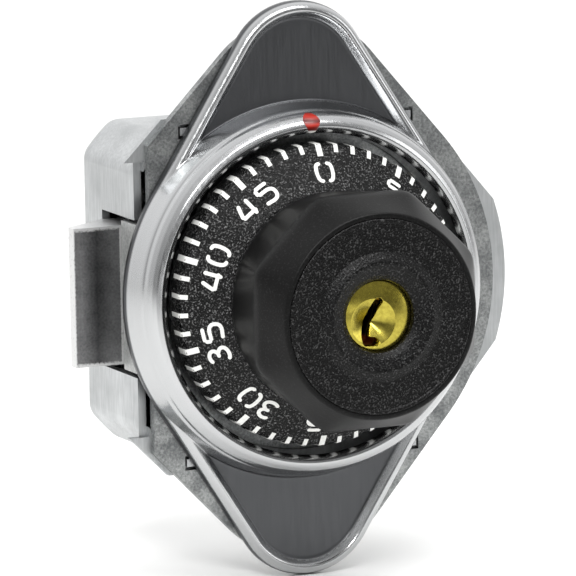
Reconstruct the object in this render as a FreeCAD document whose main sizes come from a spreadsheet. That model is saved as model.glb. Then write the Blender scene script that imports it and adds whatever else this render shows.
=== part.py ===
import FreeCAD, Part
import Sketcher
import math
import os
import re
from FreeCAD import Placement, Rotation, Vector

# Built-in combination lock for a locker door, in millimetres.
# +Z is up and the dial faces -Y.  The origin is on the dial's axis, in the
# front face of the mounting plate, the face that seats against the door.

doc = FreeCAD.newDocument("combination_lock")
sheet = doc.addObject("Spreadsheet::Sheet", "Sizes")

# Driving sizes: word, value, meaning
SIZES = [
    ("running", 0.05, "clearance of a turning or sliding fit, each side"),
    ("seat", 0.03, "clearance of a fixed fit, each side"),
    ("free", 0.3, "room left between moving pieces"),
    # Mounting plate
    ("plate_thick", 1.5, "thickness of the mounting plate"),
    ("plate_margin", 4.4, "how far the plate's middle reaches beyond the ring"),
    ("plate_shift", 0.9, "how far the middle lies to the bolt side"),
    ("plate_tip", 17.0, "radius of the plate's upper and lower ends"),
    ("plate_tip_in", 8.3, "distance of the centre of those ends inside a door screw"),
    ("plate_trim_in", 1.6, "trimmed edge on the bolt side, inside the case's side"),
    ("screw_spacing", 69.0, "distance between the two door screws"),
    ("slot_wide", 3.9, "width of a slot for a case tab"),
    ("slot_high", 2.3, "height of a slot for a case tab"),
    ("tab_wide", 3.2, "width of a case tab"),
    ("tab_high", 1.2, "thickness of a case tab"),
    ("tab_in", 15.8, "distance of a tab inside the case's round side"),
    # Bezel
    ("ring_gap", 1.6, "gap between the dial and the bezel's ring"),
    ("ring_wide", 4.6, "width of the ring at its foot"),
    ("ring_shoulder", 3.6, "distance from the opening to where the ring's wall turns in"),
    ("ring_crown", 2.6, "distance from the opening to where the ring's crown begins"),
    ("ring_crest", 1.3, "distance from the opening to the ring's highest line"),
    ("ring_high", 8.1, "height of the ring's crest above the plate"),
    ("ring_crown_drop", 1.0, "how far the crown begins below the crest"),
    ("ring_shoulder_drop", 3.1, "how far the shoulder lies below the crest"),
    ("ring_lip", 0.8, "how far the opening's edge lies below the crest"),
    ("sheet", 0.8, "thickness of the bezel's sheet"),
    ("lobe_tip", 12.0, "radius of the bezel's upper and lower ends"),
    ("lobe_in", 0.6, "distance of the centre of those ends inside a door screw"),
    ("bead_high", 2.4, "height of the raised border"),
    ("bead_wide", 2.8, "width of the raised border"),
    ("bead_round", 1.0, "rounding of the raised border"),
    ("floor_high", 1.1, "height of the sunk field inside the border"),
    ("post_radius", 2.9, "outside radius of a threaded post"),
    ("post_bore", 1.65, "tapping radius of a threaded post"),
    ("post_long", 4.4, "reach of a post behind the plate's front face"),
    ("pointer_wide", 2.8, "width of the index mark"),
    ("pointer_low", 0.5, "lower end of the index mark, from the ring's opening"),
    ("pointer_high", 3.7, "upper end of the index mark, from the ring's opening"),
    ("pointer_thick", 0.15, "thickness of the index mark"),
    # Case
    ("case_radius", 34.0, "radius of the round side of the case"),
    ("flat_in", 7.1, "how far the bolt side lies inside that radius"),
    ("post_room", 3.2, "room between a post and the case's flange"),
    ("case_deep", 25.0, "back of the case behind the plate's front"),
    ("case_wall", 1.3, "wall of the case"),
    ("case_corner", 3.4, "rounding of the case's upright corners"),
    ("case_edge", 2.4, "rounding of the case's back edge"),
    ("flange_thick", 1.1, "thickness of the case's flange"),
    ("flange_side", 2.5, "width of the flange on the round side"),
    ("flange_high", 2.6, "width of the flange above and below"),
    ("flange_end", 3.9, "length of flange left beside the case's corners on the bolt side"),
    ("slant_far", 2.6, "how much the flange is slanted off on the round side"),
    ("slant_near", 0.6, "how much the flange is slanted off on the bolt side"),
    ("mouth_gap", 1.0, "gap between plate and case beside the bolt"),
    ("mouth_room", 1.5, "room above and below the bolt in the case's mouth"),
    # Dial and knob
    ("dial_radius", 24.0, "radius of the numbered dial"),
    ("dial_front", 8.0, "distance of the dial's rim from the plate"),
    ("dial_skirt", 4.2, "depth of the dial's rim"),
    ("dial_wall", 1.8, "wall of the dial"),
    ("knob_foot", 17.1, "radius where the knob leaves the dial"),
    ("knob_foot_out", 12.6, "distance of the knob's foot from the plate"),
    ("knob_flat", 18.7, "distance of a flat of the grip from the axis"),
    ("knob_corner", 19.9, "radius over the grip's rounded corners"),
    ("knob_grip_out", 26.0, "distance of the grip's widest part from the plate"),
    ("knob_face", 16.2, "radius of the knob's face"),
    ("knob_face_out", 32.0, "distance of the knob's face from the plate"),
    ("hub_radius", 9.4, "radius of the dial's hub"),
    ("hub_back", 1.9, "distance of the hub's back from the plate"),
    ("cap_rim", 0.8, "rim of the grip round the face cap"),
    ("cap_thick", 1.4, "thickness of the face cap"),
    ("collar_radius", 10.2, "foot radius of the collar round the key"),
    ("collar_top", 8.6, "top radius of the collar"),
    ("collar_high", 0.9, "height of the collar"),
    ("mouth_radius", 6.9, "front radius of the mouth round the key plug"),
    # Key cylinder
    ("plug_radius", 5.6, "radius of the key plug"),
    ("plug_collar", 6.4, "radius of the key plug's retaining collar"),
    ("plug_front", 31.6, "distance of the key plug's front from the plate"),
    ("plug_back", 13.4, "distance of the key plug's back from the plate"),
    ("shell_front", 29.8, "distance of the cylinder's front from the plate"),
    ("shell_radius", 7.2, "outside radius of the cylinder"),
    ("tower_wide", 6.0, "width of the pin tower"),
    ("tower_high", 13.4, "top of the pin tower, from the axis"),
    ("pin_radius", 1.2, "radius of a tumbler pin"),
    ("pin_pitch", 3.5, "distance from pin to pin"),
    ("pin_first", 3.6, "first pin behind the cylinder's front"),
    ("keyway_wide", 1.5, "width of the keyway"),
    ("keyway_top", 3.4, "top of the keyway, from the axis"),
    ("keyway_bottom", 4.4, "bottom of the keyway, from the axis"),
    ("keyway_step", 1.0, "sideways step of the keyway"),
    ("key_cut", 1.2, "height of the pins' tips above the axis"),
    ("driver_pin_long", 2.8, "length of a driver pin"),
    ("spring_wire", 0.25, "wire radius of a pin spring"),
    ("blade_wide", 4.4, "width of the tail blade"),
    ("blade_thick", 1.2, "thickness of the tail blade"),
    ("tail_slot_deep", 1.2, "depth of the tail's slot in the key plug"),
    # Spindle and wheels
    ("spindle_radius", 5.0, "outside radius of the spindle"),
    ("spindle_bore", 3.5, "bore radius of the spindle"),
    ("bushing_radius", 6.2, "outside radius of the bushing that carries the wheels"),
    ("bushing_lip", 1.2, "thickness of the bushing's flange"),
    ("wheel_radius", 15.0, "radius of a combination wheel"),
    ("wheel_thick", 1.2, "thickness of a combination wheel"),
    ("wheel_gap", 0.8, "space between two wheels"),
    ("gate_wide", 4.2, "width of a wheel's gate"),
    ("gate_deep", 3.0, "depth of a wheel's gate"),
    ("fly_radius", 0.9, "radius of a drive pin"),
    ("fly_out", 10.4, "distance of a drive pin from the axis"),
    ("fly_sunk", 0.4, "how far a drive pin is sunk in its wheel"),
    ("spacer_radius", 8.2, "radius of a spacer between wheels"),
    ("clip_radius", 6.1, "radius of the spindle's clip"),
    ("clip_thick", 0.7, "thickness of the spindle's clip"),
    ("clip_sunk", 0.4, "depth of the clip's groove"),
    # Key slide at the spindle's back end
    ("slide_front", 8.6, "front of the key slide behind the plate's front"),
    ("slide_thick", 1.4, "thickness of the key slide"),
    ("slide_half", 3.3, "half the width of the key slide"),
    ("slide_nose", 1.8, "half the width of the key slide's nose"),
    ("crank_out", 1.7, "crank pin's distance from the axis"),
    ("crank_pin", 0.7, "radius of the crank pin"),
    ("crank_thick", 1.3, "thickness of the crank disc"),
    ("keeper_thick", 0.6, "thickness of the disc that keeps the slide in"),
    # Bolt
    ("bolt_half", 11.1, "half the height of the bolt"),
    ("bolt_front", 8.0, "front face of the bolt behind the plate's front"),
    ("bolt_thick", 7.6, "thickness of the bolt"),
    ("bolt_out", 8.1, "how far the bolt stands out of the case"),
    ("bolt_nose", 2.2, "flat left at the bolt's tip"),
    ("heel_in", 6.9, "inner end of the bolt's head, inside the case's side"),
    ("arm_end", 4.0, "inner end of the bolt's arms, from the axis"),
    ("arm_inner", 7.5, "inner side of an arm, from the axis"),
    ("lug_top", 5.6, "inner end of the drawing lug, from the axis"),
    ("lug_wide", 2.4, "width of the drawing lug"),
    ("guide_thick", 1.2, "thickness of the bolt's front guide"),
    ("guide_over", 0.8, "how far the front guide reaches above and below the bolt"),
    ("spring_seat_out", 12.0, "seat of the bolt springs, from the axis"),
    ("spring_deep", 12.4, "depth of the bolt springs' centre line"),
    ("spring_radius", 1.65, "mean radius of a bolt spring"),
    ("bolt_wire", 0.35, "wire radius of a bolt spring"),
    ("peg_radius", 1.1, "radius of a peg inside a bolt spring"),
    ("peg_long", 3.0, "length of a peg inside a bolt spring"),
    ("ear_in", 9.0, "bolt side of the lever's ear, inside the case's side"),
    ("ear_wide", 7.1, "width of the lever's ear"),
    ("ear_over", 2.5, "height of the lever's ear above the pivot"),
    # Inner frame
    ("frame_thick", 1.2, "thickness of the inner frame plate"),
    ("frame_room", 1.2, "room between the inner frame and the case's wall"),
    ("frame_in", 4.1, "room above and below the inner frame"),
    ("rail_long", 5.0, "length of a guide rail"),
    ("rail_high", 4.0, "depth of a guide rail beside the bolt"),
    ("standoff_radius", 2.2, "radius of a standoff"),
    ("standoff_in", 3.5, "distance of a standoff from the inner frame's edges"),
    ("spigot_radius", 1.4, "radius of a standoff's riveted end"),
    ("rivet_head", 2.3, "radius of a rivet's head"),
    ("rivet_thick", 0.8, "thickness of a rivet's head"),
    # Fence lever
    ("lever_thick", 1.5, "thickness of the fence lever"),
    ("lever_half", 1.9, "half the height of the lever's arm"),
    ("pivot_radius", 1.3, "radius of the lever's pivot"),
    ("pivot_in", 4.2, "pivot of the lever, from the ear's bolt side"),
    ("fence_wide", 3.0, "width of the fence"),
    ("fence_high", 2.0, "height of the fence"),
    ("leaf_thick", 0.3, "thickness of the lever's leaf spring"),
    ("leaf_end", 4.6, "free end of the leaf spring, from the axis"),
]
for row, (word, value, meaning) in enumerate(SIZES, start=1):
    sheet.set(f"A{row}", meaning)
    sheet.set(f"B{row}", str(value))
    sheet.setAlias(f"B{row}", word)
doc.recompute()

NAMES = {word for word, value, meaning in SIZES}
PIN_COUNT = 4
GATE_ANGLES = {"wheel_1": 40, "wheel_2": 155, "driver_cam": 265}
FLY_ANGLES = {"wheel_2": 300, "driver_cam": 20}

# Levels along the axis, as formulas of the sizes
PLATE_BACK = "plate_thick"
BOLT_BACK = "bolt_front + bolt_thick"
FRAME_FRONT = f"{BOLT_BACK} + running"
FRAME_BACK = f"{FRAME_FRONT} + frame_thick"
CASE_FRONT = "plate_thick + mouth_gap"
WHEEL_FRONTS = {
    "wheel_1": "plate_thick + wheel_gap",
    "wheel_2": "plate_thick + 2 * wheel_gap + wheel_thick",
    "driver_cam": "plate_thick + 3 * wheel_gap + 2 * wheel_thick",
}
DRIVER_BACK = f"{WHEEL_FRONTS['driver_cam']} + wheel_thick"
SPINDLE_BACK = "slide_front + slide_thick + running"
LEVER_BACK = "bolt_front + lever_thick"

# Places across the axis
POST_UP = "screw_spacing / 2"
RING_BORE = "(dial_radius + ring_gap)"
RING_BASE = f"({RING_BORE} + ring_wide)"
LOBE_UP = f"({POST_UP} - lobe_in)"
CASE_LEFT = "(case_radius - flat_in)"
CASE_HALF = f"({POST_UP} - post_radius - post_room - flange_high)"
FLANGE_RADIUS = "(case_radius + flange_side)"
FLANGE_HALF = f"({CASE_HALF} + flange_high)"
PLATE_REACH = f"({RING_BASE} + plate_margin)"
PLATE_TRIM = f"({CASE_LEFT} - plate_trim_in)"
TAB_OUT = "(case_radius - tab_in)"
TAB_UP = f"({CASE_HALF} + tab_high / 2)"
CAP_RADIUS = "(knob_face - cap_rim)"
FRAME_HALF = f"min({CASE_HALF} - case_wall - frame_in, 0.6 * case_radius)"
FRAME_RIGHT = f"sqrt((case_radius - case_wall - frame_room) ^ 2 - ({FRAME_HALF}) ^ 2)"
FRAME_LEFT = f"min({CASE_LEFT} - case_wall - frame_room, {FRAME_RIGHT})"
BOLT_HEEL = f"({CASE_LEFT} - heel_in)"
EAR_LEFT = f"({CASE_LEFT} - ear_in)"
EAR_RIGHT = f"({EAR_LEFT} - ear_wide)"
PIVOT_OUT = f"({EAR_LEFT} - pivot_in)"
PIVOT_UP = "(wheel_radius + free + fence_high / 2)"
EAR_TOP = f"({PIVOT_UP} + ear_over)"
ARM_MIDDLE = "(arm_inner + bolt_half) / 2"
SLIDE_THROW = "2 * crank_out * cos(45)"
CORNERS = [(side, up) for side in ("-", "") for up in ("-", "")]
STANDOFF_UP = f"max({FRAME_HALF} - standoff_in, bolt_half + frame_thick + free + standoff_radius)"
STANDOFF_PLACES = [(across, f"{up}{STANDOFF_UP}")
                   for across in (f"-({EAR_LEFT} + free + standoff_radius)", f"({FRAME_RIGHT} - standoff_in)")
                   for up in ("-", "")]
PIN_PLACES = [f"-(shell_front - pin_first - {i} * pin_pitch)" for i in range(PIN_COUNT)]

pieces = {}


def linked(formula):
    """A formula whose size words point at the sheet."""
    return re.sub(r"[a-z_]+", lambda m: f"Sizes.{m[0]}" if m[0] in NAMES else m[0], str(formula))


def number(formula):
    """The value of a formula, read from the sheet."""
    return float(sheet.evalExpression(linked(formula)))


def bind(item, **formulas):
    """Bind properties to formulas; two underscores stand for a dot."""
    for name, formula in formulas.items():
        item.setExpression(name.replace("__", "."), linked(formula))
    return item


def put(item, x=0, y=0, z=0):
    return bind(item, Placement__Base__x=x, Placement__Base__y=y, Placement__Base__z=z)


def piece(name, item):
    """Name a finished piece of the lock."""
    item.Label = name
    pieces[name] = item
    return item


# Plain solids and their combinations

def box(name, x, y, z):
    """A box from three (low, high) pairs of formulas."""
    item = doc.addObject("Part::Box", name)
    bind(item, Length=f"({x[1]}) - ({x[0]})", Width=f"({y[1]}) - ({y[0]})", Height=f"({z[1]}) - ({z[0]})")
    return put(item, x[0], y[0], z[0])


def rod(name, radius, y, x=0, z=0):
    """A cylinder along Y between two formulas."""
    item = doc.addObject("Part::Cylinder", name)
    item.Placement = Placement(Vector(), Rotation(Vector(1, 0, 0), -90))
    bind(item, Radius=radius, Height=f"({y[1]}) - ({y[0]})")
    return put(item, x, y[0], z)


def stake(name, radius, z, y=0):
    """A cylinder along Z between two formulas."""
    item = doc.addObject("Part::Cylinder", name)
    bind(item, Radius=radius, Height=f"({z[1]}) - ({z[0]})")
    return put(item, 0, y, z[0])


def joined(kind, name, shapes):
    item = doc.addObject(kind, name)
    item.Shapes = shapes
    item.Refine = True
    return item


def fuse(name, shapes):
    return joined("Part::MultiFuse", name, shapes)


def common(name, shapes):
    return joined("Part::MultiCommon", name, shapes)


def cut(name, base, tool):
    item = doc.addObject("Part::Cut", name)
    item.Base = base
    item.Tool = tool
    item.Refine = True
    return item


def group(name, shapes):
    item = doc.addObject("Part::Compound", name)
    item.Links = shapes
    return item


def coil(name, radius, wire, pitch, high):
    """A round-wire helix along its own Z."""
    path = doc.addObject("Part::Helix", f"{name}_path")
    path.SegmentLength = 0
    bind(path, Radius=radius, Pitch=pitch, Height=high)
    ring = doc.addObject("Part::Circle", f"{name}_wire")
    ring.Placement = Placement(Vector(), Rotation(Vector(1, 0, 0), 90))
    put(bind(ring, Radius=wire), x=radius)
    spring = doc.addObject("Part::Sweep", name)
    spring.Sections = [ring]
    spring.Spine = (path, ["Edge1"])
    spring.Solid = True
    spring.Frenet = True
    return spring


# Sketches and the features made from them

def body(name):
    return doc.addObject("PartDesign::Body", name)


def sketch(owner, name, y=None):
    """A sketch across the axis at depth y or, with no depth, in the plane of X and Y."""
    item = owner.newObject("Sketcher::SketchObject", name)
    role = "XY_Plane" if y is None else "XZ_Plane"
    plane = next(f for f in owner.Origin.OriginFeatures if f.Role == role)
    item.AttachmentSupport = [(plane, "")]
    item.MapMode = "FlatFace"
    if y is not None:
        bind(item, AttachmentOffset__Base__z=f"-({y})")
    return item


def pin_down(item, geometry, end, across, up):
    """Place a point of a sketch at two formulas."""
    for kind, formula in (("DistanceX", across), ("DistanceY", up)):
        value = number(formula)
        if value >= 0:
            rule = Sketcher.Constraint(kind, -1, 1, geometry, end, value)
            text = formula
        else:
            rule = Sketcher.Constraint(kind, geometry, end, -1, 1, -value)
            text = f"-({formula})"
        index = item.addConstraint(rule)
        item.setExpression(f"Constraints[{index}]", linked(text))


def polygon(item, points):
    """A closed outline of straight lines through pairs of formulas."""
    spots = [Vector(number(across), number(up), 0) for across, up in points]
    first = item.GeometryCount
    for i, spot in enumerate(spots):
        item.addGeometry(Part.LineSegment(spot, spots[(i + 1) % len(spots)]))
    for i, (across, up) in enumerate(points):
        before = first + (i - 1) % len(points)
        item.addConstraint(Sketcher.Constraint("Coincident", before, 2, first + i, 1))
        pin_down(item, first + i, 1, across, up)
    return item


def oblong(item, across, up, wide, high):
    """A rectangle of formulas about a point."""
    left, right = f"{across} - {wide} / 2", f"{across} + {wide} / 2"
    low, top = f"{up} - {high} / 2", f"{up} + {high} / 2"
    return polygon(item, [(left, low), (right, low), (right, top), (left, top)])


def circle(item, radius, across=0, up=0):
    """A circle about a point, all three formulas."""
    middle = Vector(number(across), number(up), 0)
    index = item.addGeometry(Part.Circle(middle, Vector(0, 0, 1), number(radius)))
    if middle.Length > 0:
        pin_down(item, index, 3, across, up)
    else:
        item.addConstraint(Sketcher.Constraint("Coincident", index, 3, -1, 1))
    rule = item.addConstraint(Sketcher.Constraint("Radius", index, number(radius)))
    item.setExpression(f"Constraints[{rule}]", linked(radius))
    return item


def rounded_diamond(item, reach, shift, tip, tip_up):
    """Four arcs joined by tangent lines: a wide middle and two narrower ends."""
    big, aside, small, up = (number(f) for f in (reach, shift, tip, tip_up))
    spread = math.acos((big - small) / math.hypot(aside, up))
    lean = math.atan2(up, aside)
    arcs = [(reach, Vector(-aside, 0, 0), big, spread - lean, lean - spread),
            (tip, Vector(0, up, 0), small, lean - spread, lean + spread),
            (reach, Vector(-aside, 0, 0), big, lean + spread, 2 * math.pi - lean - spread),
            (tip, Vector(0, -up, 0), small, -lean - spread, spread - lean)]
    indices = []
    for formula, middle, radius, start, end in arcs:
        ring = Part.Circle(middle, Vector(0, 0, 1), radius)
        indices.append(item.addGeometry(Part.ArcOfCircle(ring, start, end)))
    for i, here in enumerate(indices):
        after = indices[(i + 1) % 4]
        line = item.addGeometry(Part.LineSegment(item.getPoint(here, 2), item.getPoint(after, 1)))
        item.addConstraint(Sketcher.Constraint("Tangent", here, 2, line, 1))
        item.addConstraint(Sketcher.Constraint("Tangent", line, 2, after, 1))
    places = [(f"-({shift})", 0), (0, tip_up), (f"-({shift})", 0), (0, f"-({tip_up})")]
    for index, arc, (across, height) in zip(indices, arcs, places):
        pin_down(item, index, 3, across, height)
        rule = item.addConstraint(Sketcher.Constraint("Radius", index, arc[2]))
        item.setExpression(f"Constraints[{rule}]", linked(arc[0]))
    return item


def flatted_circle(item, radius, left, half):
    """A circle about the axis with a flat on the bolt side and two more above and below."""
    r, side, up = number(radius), number(left), number(half)
    corner_up = math.sqrt(r * r - side * side)
    corner_out = math.sqrt(r * r - up * up)
    spots = [Vector(-side, -corner_up, 0), Vector(-side, corner_up, 0), Vector(-corner_out, up, 0),
             Vector(corner_out, up, 0), Vector(corner_out, -up, 0), Vector(-corner_out, -up, 0)]
    ring = Part.Circle(Vector(), Vector(0, 0, 1), r)
    angle = [math.atan2(spot.y, spot.x) for spot in spots]
    whole = 2 * math.pi
    for edge in (Part.LineSegment(spots[0], spots[1]), Part.ArcOfCircle(ring, angle[2], angle[1]),
                 Part.LineSegment(spots[2], spots[3]), Part.ArcOfCircle(ring, angle[4], angle[3]),
                 Part.LineSegment(spots[4], spots[5]), Part.ArcOfCircle(ring, angle[0] + whole, angle[5] + whole)):
        item.addGeometry(edge)
    for ends in ((0, 2, 1, 2), (1, 1, 2, 1), (2, 2, 3, 2), (3, 1, 4, 1), (4, 2, 5, 2), (5, 1, 0, 1)):
        item.addConstraint(Sketcher.Constraint("Coincident", *ends))
    for arc in (1, 3, 5):
        item.addConstraint(Sketcher.Constraint("Coincident", arc, 3, -1, 1))
    item.addConstraint(Sketcher.Constraint("Equal", 1, 3))
    item.addConstraint(Sketcher.Constraint("Equal", 3, 5))
    for kind, line in (("Vertical", 0), ("Horizontal", 2), ("Horizontal", 4)):
        item.addConstraint(Sketcher.Constraint(kind, line))
    sizes = [(Sketcher.Constraint("Radius", 3, r), radius),
             (Sketcher.Constraint("DistanceX", 0, 1, -1, 1, side), left),
             (Sketcher.Constraint("DistanceY", -1, 1, 2, 1, up), half),
             (Sketcher.Constraint("DistanceY", 4, 1, -1, 1, up), half)]
    for rule, formula in sizes:
        index = item.addConstraint(rule)
        item.setExpression(f"Constraints[{index}]", linked(formula))
    return item


def feature(owner, kind, name, outline, length):
    item = owner.newObject(f"PartDesign::{kind}", name)
    item.Profile = outline
    return bind(item, Length=length)


def slab(owner, name, outline, thick):
    """Material from the sketch's plane forward, towards -Y."""
    return feature(owner, "Pad", name, outline, thick)


def sink(owner, name, outline, deep):
    """A pocket from the sketch's plane backward, towards +Y."""
    return feature(owner, "Pocket", name, outline, deep)


def turn(owner, name, points, kind="Revolution"):
    """A profile of (radius, depth) formulas turned about the dial's axis."""
    outline = polygon(sketch(owner, f"{name}_profile"), points)
    item = owner.newObject(f"PartDesign::{kind}", name)
    item.Profile = outline
    item.ReferenceAxis = (outline, ["V_Axis"])
    item.Angle = 360
    return item


def soften(owner, name, base, radius, chosen):
    """Round the edges of a feature that the test picks out."""
    doc.recompute()
    names = [f"Edge{i}" for i, edge in enumerate(base.Shape.Edges, start=1) if chosen(edge)]
    item = owner.newObject("PartDesign::Fillet", name)
    item.Base = (base, names)
    bind(item, Radius=radius)
    doc.recompute()
    return item


def at_depth(depth):
    """A test for edges that lie wholly at one depth."""
    level = number(depth)
    return lambda edge: all(abs(p.y - level) < 1e-4 for p in edge_spots(edge))


def edge_spots(edge):
    return [vertex.Point for vertex in edge.Vertexes] + [edge.CenterOfMass]


# Mounting plate: a flat steel blank with rounded ends, trimmed beside the bolt

def mounting_plate():
    owner = body("mounting_plate")
    outline = rounded_diamond(sketch(owner, "plate_outline", PLATE_BACK),
                              PLATE_REACH, "plate_shift", "plate_tip", f"({POST_UP} - plate_tip_in)")
    slab(owner, "plate_blank", outline, "plate_thick")
    trim = oblong(sketch(owner, "plate_trim_outline", 0), f"-({PLATE_TRIM} + {PLATE_REACH})", 0,
                  f"(2 * {PLATE_REACH})", f"(4 * {PLATE_REACH})")
    sink(owner, "plate_trimming", trim, "plate_thick")
    holes = circle(sketch(owner, "plate_holes", 0), "bushing_radius + seat")
    for up in (POST_UP, f"-({POST_UP})"):
        circle(holes, "post_radius + free", 0, up)
    for side, up in CORNERS:
        oblong(holes, f"{side}{TAB_OUT}", f"{up}{TAB_UP}", "slot_wide", "slot_high")
    for across, up in STANDOFF_PLACES:
        circle(holes, "spigot_radius + seat", across, up)
    sink(owner, "plate_piercing", holes, "plate_thick")
    piece("mounting_plate", owner)


# Bezel: a pressed ring with two beaded lobes, and the posts that the door screws enter

def bezel():
    owner = body("bezel")
    outline = rounded_diamond(sketch(owner, "bezel_outline", 0), RING_BASE, "0", "lobe_tip", LOBE_UP)
    blank = slab(owner, "bezel_blank", outline, "bead_high")
    soften(owner, "bead_outside", blank, "bead_round", at_depth("-bead_high"))
    field = rounded_diamond(sketch(owner, "field_outline", "-bead_high"), f"{RING_BASE} - bead_wide", "0",
                            "lobe_tip - bead_wide", LOBE_UP)
    sunk = sink(owner, "sunk_field", field, "bead_high - floor_high")
    soften(owner, "bead_inside", sunk, "bead_round", field_edge)
    crown = [(RING_BORE, "0")] + ring_surface() + [(RING_BASE, "0")]
    turn(owner, "ring", crown)
    hollow = [(f"{RING_BORE} + sheet", "0"), (f"{RING_BORE} + sheet", "-(ring_high - ring_lip - sheet)"),
              (f"{RING_BORE} + ring_crest", "-(ring_high - sheet)"),
              (f"{RING_BORE} + ring_shoulder - sheet", "-(ring_high - ring_shoulder_drop - sheet)"),
              (f"{RING_BASE} - sheet", "-floor_high"), (f"{RING_BASE} - sheet", "0")]
    turn(owner, "ring_hollow", hollow, kind="Groove")
    opening = circle(sketch(owner, "ring_opening", "-bead_high"), RING_BORE)
    sink(owner, "opening", opening, "bead_high")
    piece("bezel", owner)
    for name, up in (("bezel_post_upper", POST_UP), ("bezel_post_lower", f"-({POST_UP})")):
        barrel = rod(f"{name}_barrel", "post_radius", ("0", "post_long"), z=up)
        bore = rod(f"{name}_bore", "post_bore", ("0", "post_long"), z=up)
        piece(name, cut(name, barrel, bore))


def ring_surface(over="0"):
    """The ring's outer profile, from its opening to its foot, raised by a formula."""
    steps = [("0", "ring_high - ring_lip"), ("ring_crest", "ring_high"),
             ("ring_crown", "ring_high - ring_crown_drop"),
             ("ring_shoulder", "ring_high - ring_shoulder_drop"), ("ring_wide", "floor_high")]
    return [(f"{RING_BORE} + {out}", f"-({high} + {over})") for out, high in steps]


def field_edge(edge):
    """Whether an edge bounds the sunk field of the bezel, at the border's height."""
    level = number("-bead_high")
    lean = math.acos(number(f"({RING_BASE} - lobe_tip) / {LOBE_UP}"))
    out = number(f"{RING_BASE} - bead_wide / 2")
    tip = number(f"{LOBE_UP} + lobe_tip - bead_wide / 2")
    return all(abs(p.y - level) < 1e-4 and abs(p.z) < tip
               and abs(p.x) * math.sin(lean) + abs(p.z) * math.cos(lean) < out for p in edge_spots(edge))


def index_pointer():
    owner = body("pointer_drop")
    low, high = f"{RING_BORE} + pointer_low", f"{RING_BORE} + pointer_high"
    half = [("pointer_wide / 7", low), ("pointer_wide / 2", f"{high} - pointer_wide / 2"),
            ("pointer_wide / 3", f"{high} - pointer_wide / 7"), ("pointer_wide / 7", high)]
    other = [(f"-({across})", up) for across, up in reversed(half)]
    shape = polygon(sketch(owner, "pointer_outline", 0), half + other)
    slab(owner, "pointer_block", shape, "2 * ring_high")
    shell = body("pointer_shell")
    turn(shell, "pointer_skin", ring_surface() + ring_surface("2 * pointer_thick")[::-1])
    piece("index_pointer", common("index_pointer", [owner, shell]))


# Case: a drawn cup, round on one side with three flats, and a flange turned out of its rim

def case():
    owner = body("case_cup")
    outside = flatted_circle(sketch(owner, "case_outline", "case_deep"), "case_radius", CASE_LEFT, CASE_HALF)
    cup = slab(owner, "case_blank", outside, f"case_deep - ({CASE_FRONT})")

    def upright(edge):
        return abs(abs(edge.tangentAt(edge.FirstParameter).y) - 1) < 1e-6
    corners = soften(owner, "case_corners", cup, "case_corner", upright)
    soften(owner, "case_back_edge", corners, "case_edge", at_depth("case_deep"))
    flange = flatted_circle(sketch(owner, "flange_outline", "plate_thick + flange_thick"),
                            FLANGE_RADIUS, f"{FLANGE_RADIUS} - sheet", FLANGE_HALF)
    slab(owner, "flange", flange, "flange_thick")
    inside = flatted_circle(sketch(owner, "case_inside", PLATE_BACK), "case_radius - case_wall",
                            f"{CASE_LEFT} - case_wall", f"{CASE_HALF} - case_wall")
    sink(owner, "case_hollow", inside, "case_deep - case_wall - plate_thick")
    slants = sketch(owner, "flange_slants", PLATE_BACK)
    for distance, degrees in (("slant_far", 40), ("slant_near", 135), ("slant_near", 225), ("slant_far", 320)):
        beyond(slants, f"{FLANGE_RADIUS} - {distance}", degrees)
    sink(owner, "flange_corners", slants, "flange_thick")
    bare_high = f"(2 * ({CASE_HALF} - flange_end))"
    bare = oblong(sketch(owner, "flange_bare", PLATE_BACK), f"-({CASE_LEFT} + {FLANGE_RADIUS})", 0,
                  f"(2 * {FLANGE_RADIUS})", bare_high)
    sink(owner, "flange_break", bare, "flange_thick")
    edge = oblong(sketch(owner, "wall_edge", PLATE_BACK), f"-{CASE_LEFT}", 0, "(2 * case_wall)", bare_high)
    sink(owner, "wall_edge_gap", edge, "mouth_gap")
    tabs = sketch(owner, "case_tabs", PLATE_BACK)
    for side, up in CORNERS:
        oblong(tabs, f"{side}{TAB_OUT}", f"{up}{TAB_UP}", "tab_wide", "tab_high")
    slab(owner, "tabs", tabs, "plate_thick - running")
    mouth = box("bolt_mouth", (f"-2 * {CASE_LEFT}", f"-({CASE_LEFT} - 2 * case_wall)"),
                (PLATE_BACK, f"{BOLT_BACK} + free"), ("-(bolt_half + mouth_room)", "bolt_half + mouth_room"))
    piece("case", cut("case", owner, mouth))


def beyond(item, distance, degrees):
    """A block outline outside a straight edge that faces the given way."""
    far = FLANGE_HALF
    points = []
    for along, aside in (("0", f"-{far} / 2"), (far, f"-{far} / 2"), (far, f"{far} / 2"), ("0", f"{far} / 2")):
        out = f"({distance} + {along})"
        points.append((f"{out} * cos({degrees}) - ({aside}) * sin({degrees})",
                       f"{out} * sin({degrees}) + ({aside}) * cos({degrees})"))
    return polygon(item, points)


def bolt_guide():
    high = ("-(bolt_half + guide_over)", "bolt_half + guide_over")
    face = box("guide_face", (f"-{CASE_LEFT}", f"-({CASE_LEFT} - guide_thick)"),
               (PLATE_BACK, "bolt_front - running"), high)
    foot = box("guide_foot", (f"-{CASE_LEFT}", f"-({PLATE_TRIM} - 2 * guide_thick)"),
               (PLATE_BACK, "plate_thick + guide_thick"), high)
    piece("bolt_guide", fuse("bolt_guide", [face, foot]))


# Dial and knob, moulded in one, with the face cap

def octagon(name, flat, y):
    item = doc.addObject("Part::RegularPolygon", name)
    item.Polygon = 8
    item.Placement = Placement(Vector(), Rotation(Vector(1, 0, 0), 90) * Rotation(Vector(0, 0, 1), 22.5))
    bind(item, Circumradius=f"({flat}) / cos(22.5)")
    return put(item, y=y)


def loft(name, sections):
    item = doc.addObject("Part::Loft", name)
    item.Sections = sections
    item.Solid = True
    item.Ruled = True
    return item


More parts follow.
